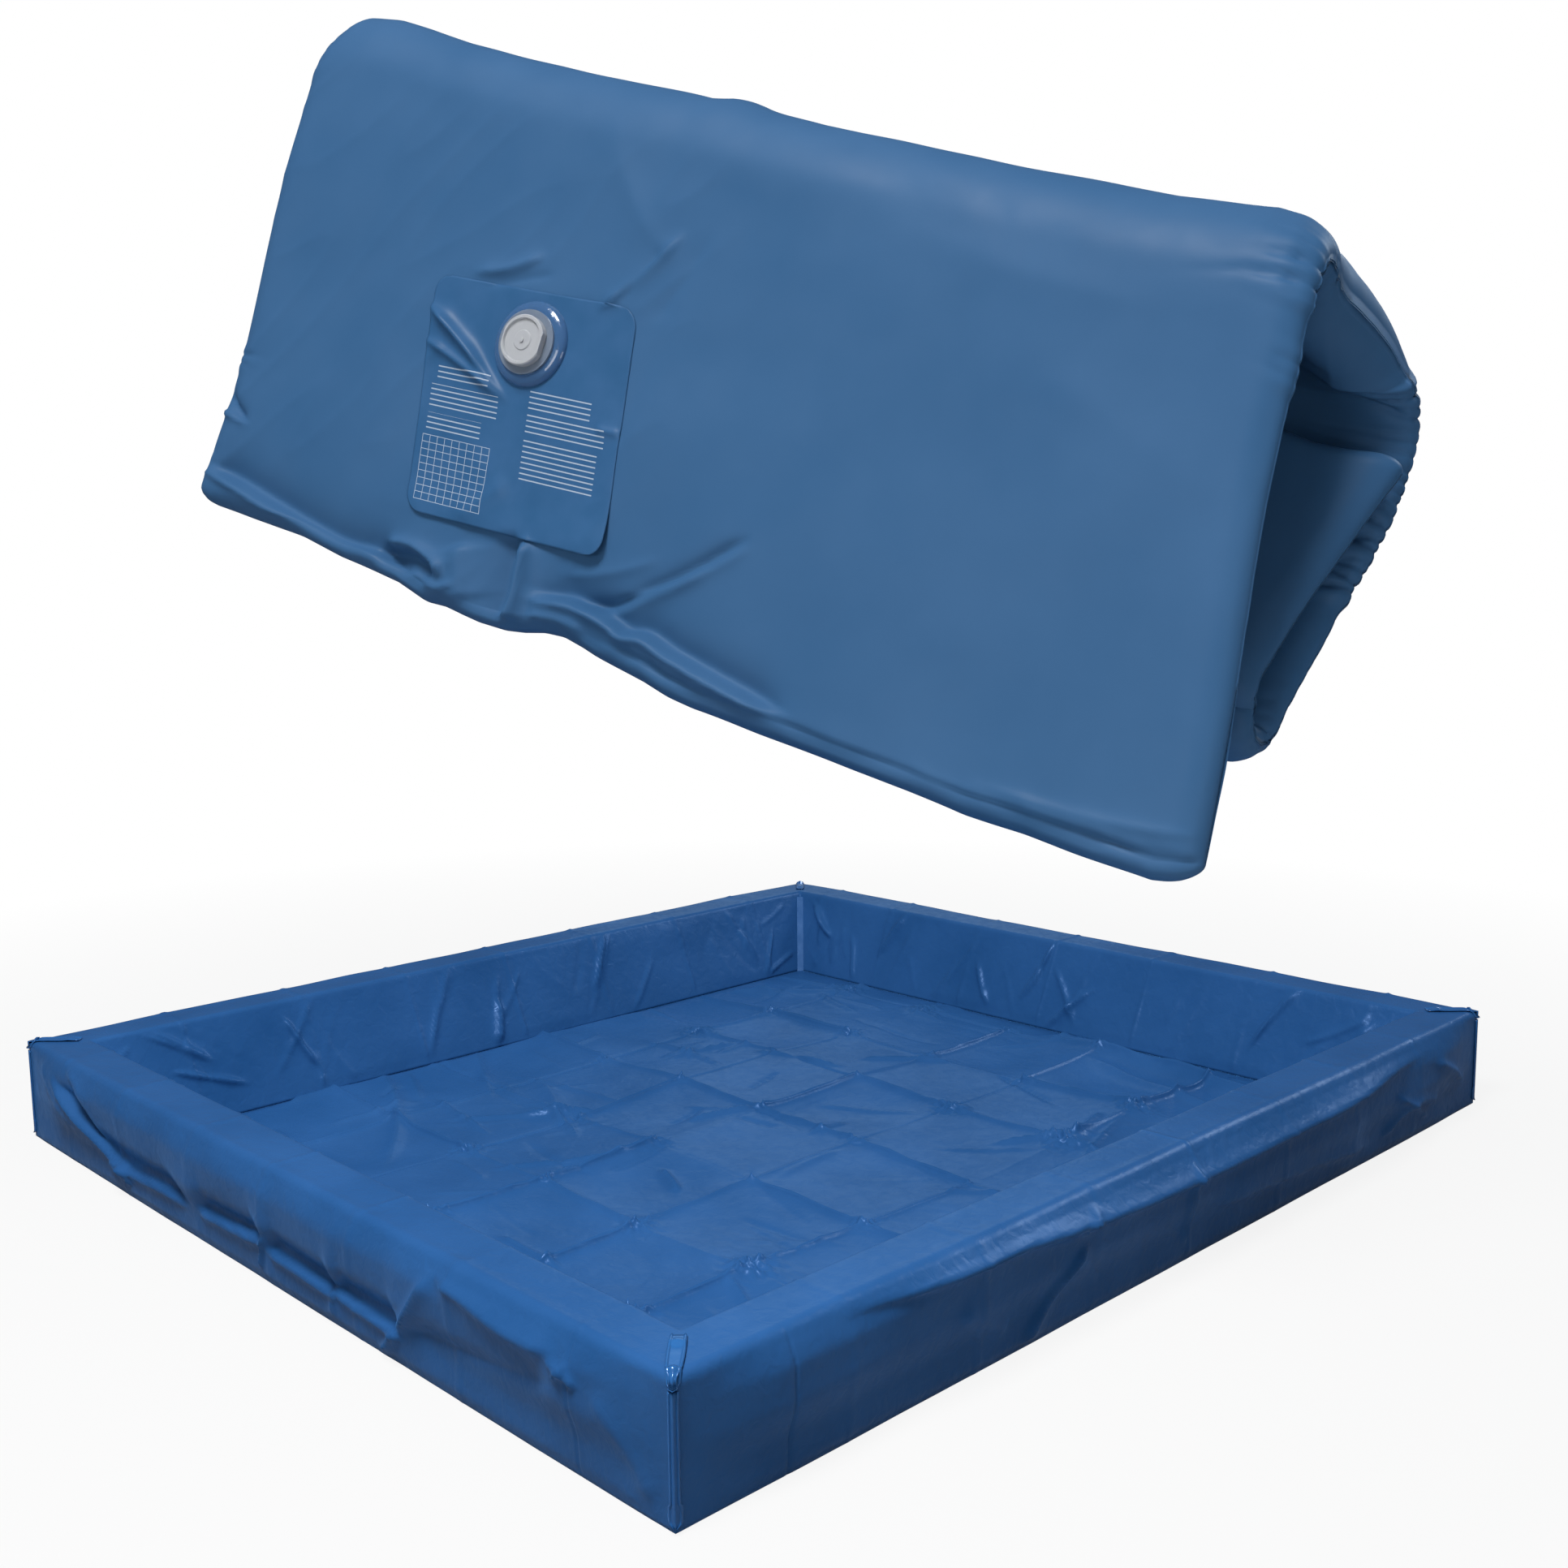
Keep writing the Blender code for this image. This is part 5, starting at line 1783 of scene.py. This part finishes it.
@dataclass(frozen=True)
class PrintedPatchVinyl:
    """Press-polished PVC with plain pale bars and an empty grid screened on it.

    It looks smoother and flatter than the film around it.
    """

    name: str = "printed_patch_vinyl"
    dark: str = "#2c567f"
    light: str = "#345c86"
    ink: str = "#b4c0ce"
    cover: float = 0.7
    rule_pitch: float = 0.0092
    rule_width: float = 0.0022
    line_width: float = 0.0011
    grid_cells: int = 9
    film_mm: float = 60.0
    film_depth_mm: float = 1.2

    # Left, right, bottom and top of the ruled blocks and of the empty grid, in the flat patch
    RULED = (
        (-0.185, -0.065, 0.03, 0.052), (-0.195, -0.045, -0.02, 0.018), (-0.195, -0.075, -0.06, -0.032),
        (0.02, 0.15, 0.01, 0.04), (0.02, 0.185, -0.03, 0.000), (0.02, 0.175, -0.11, -0.042),
    )
    GRID = (-0.2, -0.05, -0.185, -0.072)

    def joined(self, tree: Tree, masks: Sequence[Socket], operation: str) -> Socket:
        """Return several masks joined into one.

        Args:
            tree: Node tree to add to.
            masks: Sockets of the masks.
            operation: Name of the calculation that joins them.

        Returns:
            A socket of the result.
        """
        result = masks[0]
        for mask in masks[1:]:
            result = add_math(tree, operation, result, mask)
        return result

    def within(self, tree: Tree, place: Any, box: Box) -> Socket:
        """Return a mask of one box.

        Args:
            tree: Node tree to add to.
            place: Output sockets of the place in the flat patch, by axis.
            box: Left, right, bottom and top of the box.

        Returns:
            A socket that is 1 inside the box.
        """
        left, right, bottom, top = box
        return self.joined(tree, (
            add_math(tree, "GREATER_THAN", place["X"], left), add_math(tree, "LESS_THAN", place["X"], right),
            add_math(tree, "GREATER_THAN", place["Y"], bottom), add_math(tree, "LESS_THAN", place["Y"], top),
        ), "MULTIPLY")

    def rules(self, tree: Tree, value: Socket, pitch: float, width: float, start: float) -> Socket:
        """Return a mask of evenly spaced lines across one coordinate.

        Args:
            tree: Node tree to add to.
            value: Socket of that coordinate in metres.
            pitch: Distance between lines.
            width: Width of a line.
            start: Where one line lies.

        Returns:
            A socket that is 1 on the lines.
        """
        shifted = add_math(tree, "SUBTRACT", value, start)
        part = add_math(tree, "FRACT", add_math(tree, "DIVIDE", shifted, pitch))
        return add_math(tree, "LESS_THAN", part, width / pitch)

    def build(self) -> Material:
        """Build the material.

        Returns:
            The material.
        """
        material, tree, place = new_surface(self.name)
        flat = add_node(tree, "ShaderNodeAttribute", {"attribute_name": "flat"}).outputs["Vector"]
        parts = add_node(tree, "ShaderNodeSeparateXYZ", links={"Vector": flat}).outputs
        blocks = []
        for box in self.RULED:
            lines = self.rules(tree, parts["Y"], self.rule_pitch, self.rule_width, box[2])
            blocks.append(self.joined(tree, (self.within(tree, parts, box), lines), "MULTIPLY"))
        left, right, bottom, top = self.GRID
        cells = (
            self.rules(tree, parts["X"], (right - left) / self.grid_cells, self.line_width, left),
            self.rules(tree, parts["Y"], (top - bottom) / self.grid_cells, self.line_width, bottom))
        inside = self.within(tree, parts, (left, right + self.line_width, bottom, top + self.line_width))
        blocks.append(self.joined(tree, (inside, self.joined(tree, cells, "MAXIMUM")), "MULTIPLY"))
        ink = add_math(tree, "MULTIPLY", self.joined(tree, blocks, "MAXIMUM"), self.cover)
        film = add_noise(tree, place, self.film_mm, 3.0)
        paint = add_node(tree, "ShaderNodeMix", {"data_type": "RGBA"}, {"Factor": ink})
        under, over = [socket for socket in paint.inputs if socket.type == "RGBA"]
        tree.links.new(add_tones(tree, film, self.dark, self.light, (0.3, 0.7)), under)
        over.default_value = srgb(self.ink)
        printed = [socket for socket in paint.outputs if socket.type == "RGBA"][0]
        end_surface(tree, {"Roughness": 0.4, "IOR": VINYL_IOR, "Specular IOR Level": 0.14}, {
            "Base Color": printed, "Normal": add_bump(tree, film, 0.5, self.film_depth_mm)})
        return material


@dataclass
class FillValve:
    """The clear flange, the neck, its stopper and the milky screw cap."""

    flange: ClearVinyl = ClearVinyl("welded_clear_blue_vinyl", "#5c8cc2", 0.6, 0.1)
    neck: MouldedPolyethylene = MouldedPolyethylene("clearer_moulded_neck", "#8d9cb0", 0.45)
    cap: MouldedPolyethylene = MouldedPolyethylene("milky_polyethylene", "#b0b3b8", 0.1)

    def build(self) -> None:
        """Dress the valve's own nodes."""
        nodes = FRAME["nodes"]
        dress(nodes["valve_flange"], self.flange.build())
        dress(nodes["valve_neck"], self.neck.build())
        milky = self.cap.build()
        dress(nodes["valve_plug"], milky)
        dress(nodes["valve_cap"], milky)
        LOG.info("fill valve dressed")


# Floor, lights and camera


class Lit(Enum):
    """What a lamp lights."""

    TRAY = "tray"
    CORE = "core"
    BOTH = "both"


@dataclass(frozen=True)
class Lamp:
    """One soft square lamp: its place, the point it faces, its side in metres and its power in watts."""

    name: str
    place: Triple
    aim: Triple
    size: float
    power: float
    lights: Lit
    tint: Triple = (1.0, 1.0, 1.0)

    def add(self, passed_over: bpy.types.Collection | None) -> None:
        """Add the lamp.

        Args:
            passed_over: Pieces that it neither lights nor takes a shadow from.
        """
        data = bpy.data.lights.new(self.name, "AREA")
        data.shape = "SQUARE"
        data.size = self.size
        data.energy = self.power
        data.color = self.tint
        lamp = bpy.data.objects.new(self.name, data)
        lamp.location = self.place
        lamp.rotation_euler = (Vector(self.aim) - Vector(self.place)).to_track_quat("-Z", "Y").to_euler()
        bpy.context.scene.collection.objects.link(lamp)
        if passed_over:
            lamp.light_linking.receiver_collection = passed_over
            lamp.light_linking.blocker_collection = passed_over


@dataclass
class Studio:
    """A plain white sweep with soft lamps above it and the photograph's camera.

    The photograph is two pictures joined, so the tray has one key lamp and the core another.
    """

    eye: Triple = (2.4559, -2.3181, 1.1782)
    yaw_degrees: float = 135.83
    pitch_degrees: float = 8.04
    roll_degrees: float = 0.66
    image_pixels: float = 1932.0
    focal_pixels: float = 2087.7
    sensor_mm: float = 36.0
    gloss_share: float = 0.08
    horizon_light: float = 0.05
    zenith_light: float = 0.62
    dome_start: float = 0.3
    dome_tint: Triple = (0.94, 0.97, 1.0)
    floor_reach: float = 40.0
    floor_color: str = "#929292"
    shadow_reach: Pair = (1.7, 3.4)
    white_near_object: float = 0.86

    TRAY_PIECES = ("safety_liner", "corner_", "foam_rail", "liner_")
    LAMPS = (
        Lamp("tray_key", (1.0, -2.3, 4.0), (0.2, -0.1, 0.1), 1.2, 240.0, Lit.TRAY),
        Lamp("core_key", (1.6, -4.2, 8.6), (0.1, -0.2, 0.6), 2.8, 720.0, Lit.CORE),
        Lamp("core_fill", (2.4, -8.4, 2.7), (0.4, -0.2, 1.2), 3.0, 140.0, Lit.CORE),
        Lamp("core_end_fill", (4.2, -1.6, 0.6), (1.0, 0.1, 1.6), 1.6, 20.0, Lit.CORE),
        Lamp("core_back", (-2.2, 6.2, 2.8), (0.3, 0.2, 1.6), 2.6, 150.0, Lit.CORE),
        Lamp("back_left", (-4.2, 4.6, 2.6), (0.0, 0.0, 0.1), 3.0, 16.0, Lit.BOTH, (0.45, 0.72, 1.0)),
        Lamp("back_right", (2.0, 5.5, 4.4), (-0.6, 0.0, 0.4), 2.0, 85.0, Lit.BOTH, (0.8, 0.92, 1.0)),
    )

    def camera(self) -> None:
        """Add the photograph's camera."""
        yaw, pitch, roll = (math.radians(a) for a in (self.yaw_degrees, self.pitch_degrees, self.roll_degrees))
        forward = Vector((math.cos(yaw) * math.cos(pitch), math.sin(yaw) * math.cos(pitch), -math.sin(pitch)))
        right = Vector((math.sin(yaw), -math.cos(yaw), 0.0))
        down = forward.cross(right)
        level = math.cos(roll) * right + math.sin(roll) * down
        drop = -math.sin(roll) * right + math.cos(roll) * down
        data = bpy.data.cameras.new("photo_camera")
        data.sensor_width = self.sensor_mm
        data.lens = self.sensor_mm * self.focal_pixels / self.image_pixels
        camera = bpy.data.objects.new("photo_camera", data)
        turn = Matrix((level, -drop, -forward)).transposed().to_4x4()
        camera.matrix_world = Matrix.Translation(self.eye) @ turn
        bpy.context.scene.collection.objects.link(camera)
        bpy.context.scene.camera = camera

    def seen_directly(self, tree: Tree) -> tuple[Socket, Socket]:
        """Return sockets for the rays that see the white background, and for how bright it is to them.

        Args:
            tree: Node tree of the floor or the world.

        Returns:
            1 for camera, transmitted and glossy rays, and a strength that is lower for the glossy ones.
        """
        rays = add_node(tree, "ShaderNodeLightPath").outputs
        straight = add_math(tree, "MAXIMUM", rays["Is Camera Ray"], rays["Is Transmission Ray"])
        glossy = rays["Is Glossy Ray"]
        part = add_math(tree, "MULTIPLY", glossy, self.gloss_share)
        return add_math(tree, "MAXIMUM", straight, glossy), add_math(tree, "MAXIMUM", straight, part)

    def floor(self) -> None:
        """Add the pale floor, which keeps the object's shadow and fades to white."""
        size = self.floor_reach
        points = np.array([(-size, -size, 0.0), (size, -size, 0.0), (size, size, 0.0), (-size, size, 0.0)])
        floor = mesh_object("studio_floor", points, [(0, 1, 2, 3)])
        material, tree, place = new_surface("white_sweep")
        pale = add_node(tree, "ShaderNodeBsdfDiffuse", {"Color": srgb(self.floor_color)})
        seen, strength = self.seen_directly(tree)
        glow = add_node(tree, "ShaderNodeEmission", {"Color": srgb("#ffffff")}, {"Strength": strength})
        away = add_node(tree, "ShaderNodeVectorMath", {"operation": "LENGTH"}, {"#0": place})
        fade = add_range(tree, away.outputs["Value"], (self.white_near_object, 1.0), self.shadow_reach)
        mix = add_node(tree, "ShaderNodeMixShader", links={
            "Fac": add_math(tree, "MULTIPLY", seen, fade), "#1": pale.outputs[0], "#2": glow.outputs[0]})
        add_node(tree, "ShaderNodeOutputMaterial", links={"Surface": mix.outputs[0]})
        dress(floor, material)

    def set_apart(self, name: str, pieces: Sequence[bpy.types.Object]) -> bpy.types.Collection:
        """Gather pieces that a lamp passes over.

        Args:
            name: Name of their collection.
            pieces: The pieces.

        Returns:
            The collection, which leaves its pieces out of the light of a lamp it is given to.
        """
        group = bpy.data.collections.new(name)
        for piece in pieces:
            group.objects.link(piece)
        for member in group.collection_objects:
            member.light_linking.link_state = "EXCLUDE"
        return group

    def sky(self) -> None:
        """Add the world: a dim dome for light, and white where it is seen."""
        world = bpy.data.worlds.new("studio_world")
        bpy.context.scene.world = world
        world.use_nodes = True
        tree = world.node_tree
        tree.nodes.clear()
        seen, strength = self.seen_directly(tree)
        place = add_node(tree, "ShaderNodeTexCoord").outputs["Generated"]
        height = add_node(tree, "ShaderNodeSeparateXYZ", links={"Vector": place})
        dome = add_node(tree, "ShaderNodeMapRange", {
            "From Min": self.dome_start, "From Max": 1.0, "To Min": self.horizon_light,
            "To Max": self.zenith_light, "interpolation_type": "SMOOTHSTEP",
        }, {"Value": height.outputs["Z"]})
        dim = add_node(tree, "ShaderNodeBackground", {"Color": (*self.dome_tint, 1.0)}, {
            "Strength": dome.outputs["Result"]})
        bright = add_node(tree, "ShaderNodeBackground", {"Color": srgb("#ffffff")}, {"Strength": strength})
        mix = add_node(tree, "ShaderNodeMixShader", links={
            "Fac": seen, "#1": dim.outputs[0], "#2": bright.outputs[0]})
        add_node(tree, "ShaderNodeOutputWorld", links={"Surface": mix.outputs[0]})

    def build(self) -> None:
        """Add the floor, lamps, world and camera."""
        meshes = [obj for obj in bpy.data.objects if obj.type == "MESH"]
        of_tray = [obj for obj in meshes if obj.name.startswith(self.TRAY_PIECES)]
        passed_over = {
            Lit.CORE: self.set_apart("lit_with_the_tray", of_tray),
            Lit.TRAY: self.set_apart("lit_with_the_core", [obj for obj in meshes if obj not in of_tray]),
            Lit.BOTH: None,
        }
        self.floor()
        for lamp in self.LAMPS:
            lamp.add(passed_over[lamp.lights])
        self.sky()
        bpy.context.scene.view_settings.view_transform = "Standard"
        self.camera()
        LOG.info("studio set")


def clear_scene() -> None:
    """Remove what the open file holds."""
    for existing in list(bpy.data.objects):
        bpy.data.objects.remove(existing, do_unlink=True)


def main() -> None:
    """Build every sub-assembly in order."""
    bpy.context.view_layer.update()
    liner_vinyl = SoftVinyl(
        "satin_liner_vinyl", "#1f4b7e", "#28558b", roughness=0.33, gloss=0.28, wrinkle_mm=22.0,
        wrinkle_depth_mm=1.9, sheen=0.35, glint="#9cc4ff").build()
    weld_vinyl = SoftVinyl(
        "welded_liner_vinyl", "#1c4a82", "#285f9a", roughness=0.18, gloss=0.5, wrinkle_mm=14.0,
        wrinkle_depth_mm=0.6, sheen=0.2, coat=0.5, glint="#9cc4ff").build()
    inner_weld_vinyl = SoftVinyl(
        "inner_weld_vinyl", "#1f4b7e", "#28558b", roughness=0.38, gloss=0.2, wrinkle_mm=22.0,
        wrinkle_depth_mm=0.6, sheen=0.35, glint="#9cc4ff").build()
    core_vinyl = SoftVinyl(
        "satin_core_vinyl", "#335a82", "#395f87", roughness=0.5, gloss=0.1, wrinkle_mm=110.0,
        wrinkle_depth_mm=1.0, sheen=0.06).build()
    SafetyLiner().build(liner_vinyl)
    CornerWelds().build(weld_vinyl)
    TrayFrame().build(inner_weld_vinyl, OpenFoam("open_cell_foam", "#b9b9b4").build())
    core = WaterCore()
    core.build(core_vinyl, OpenFoam("polyester_fleece", "#e6e6e2", 3.0).build())
    LabelPatch().build(core, PrintedPatchVinyl().build())
    FillValve().build()
    Studio().build()


if __name__ == "__main__":
    logging.basicConfig(level=logging.INFO)
    clear_scene()
    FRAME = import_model()
    main()
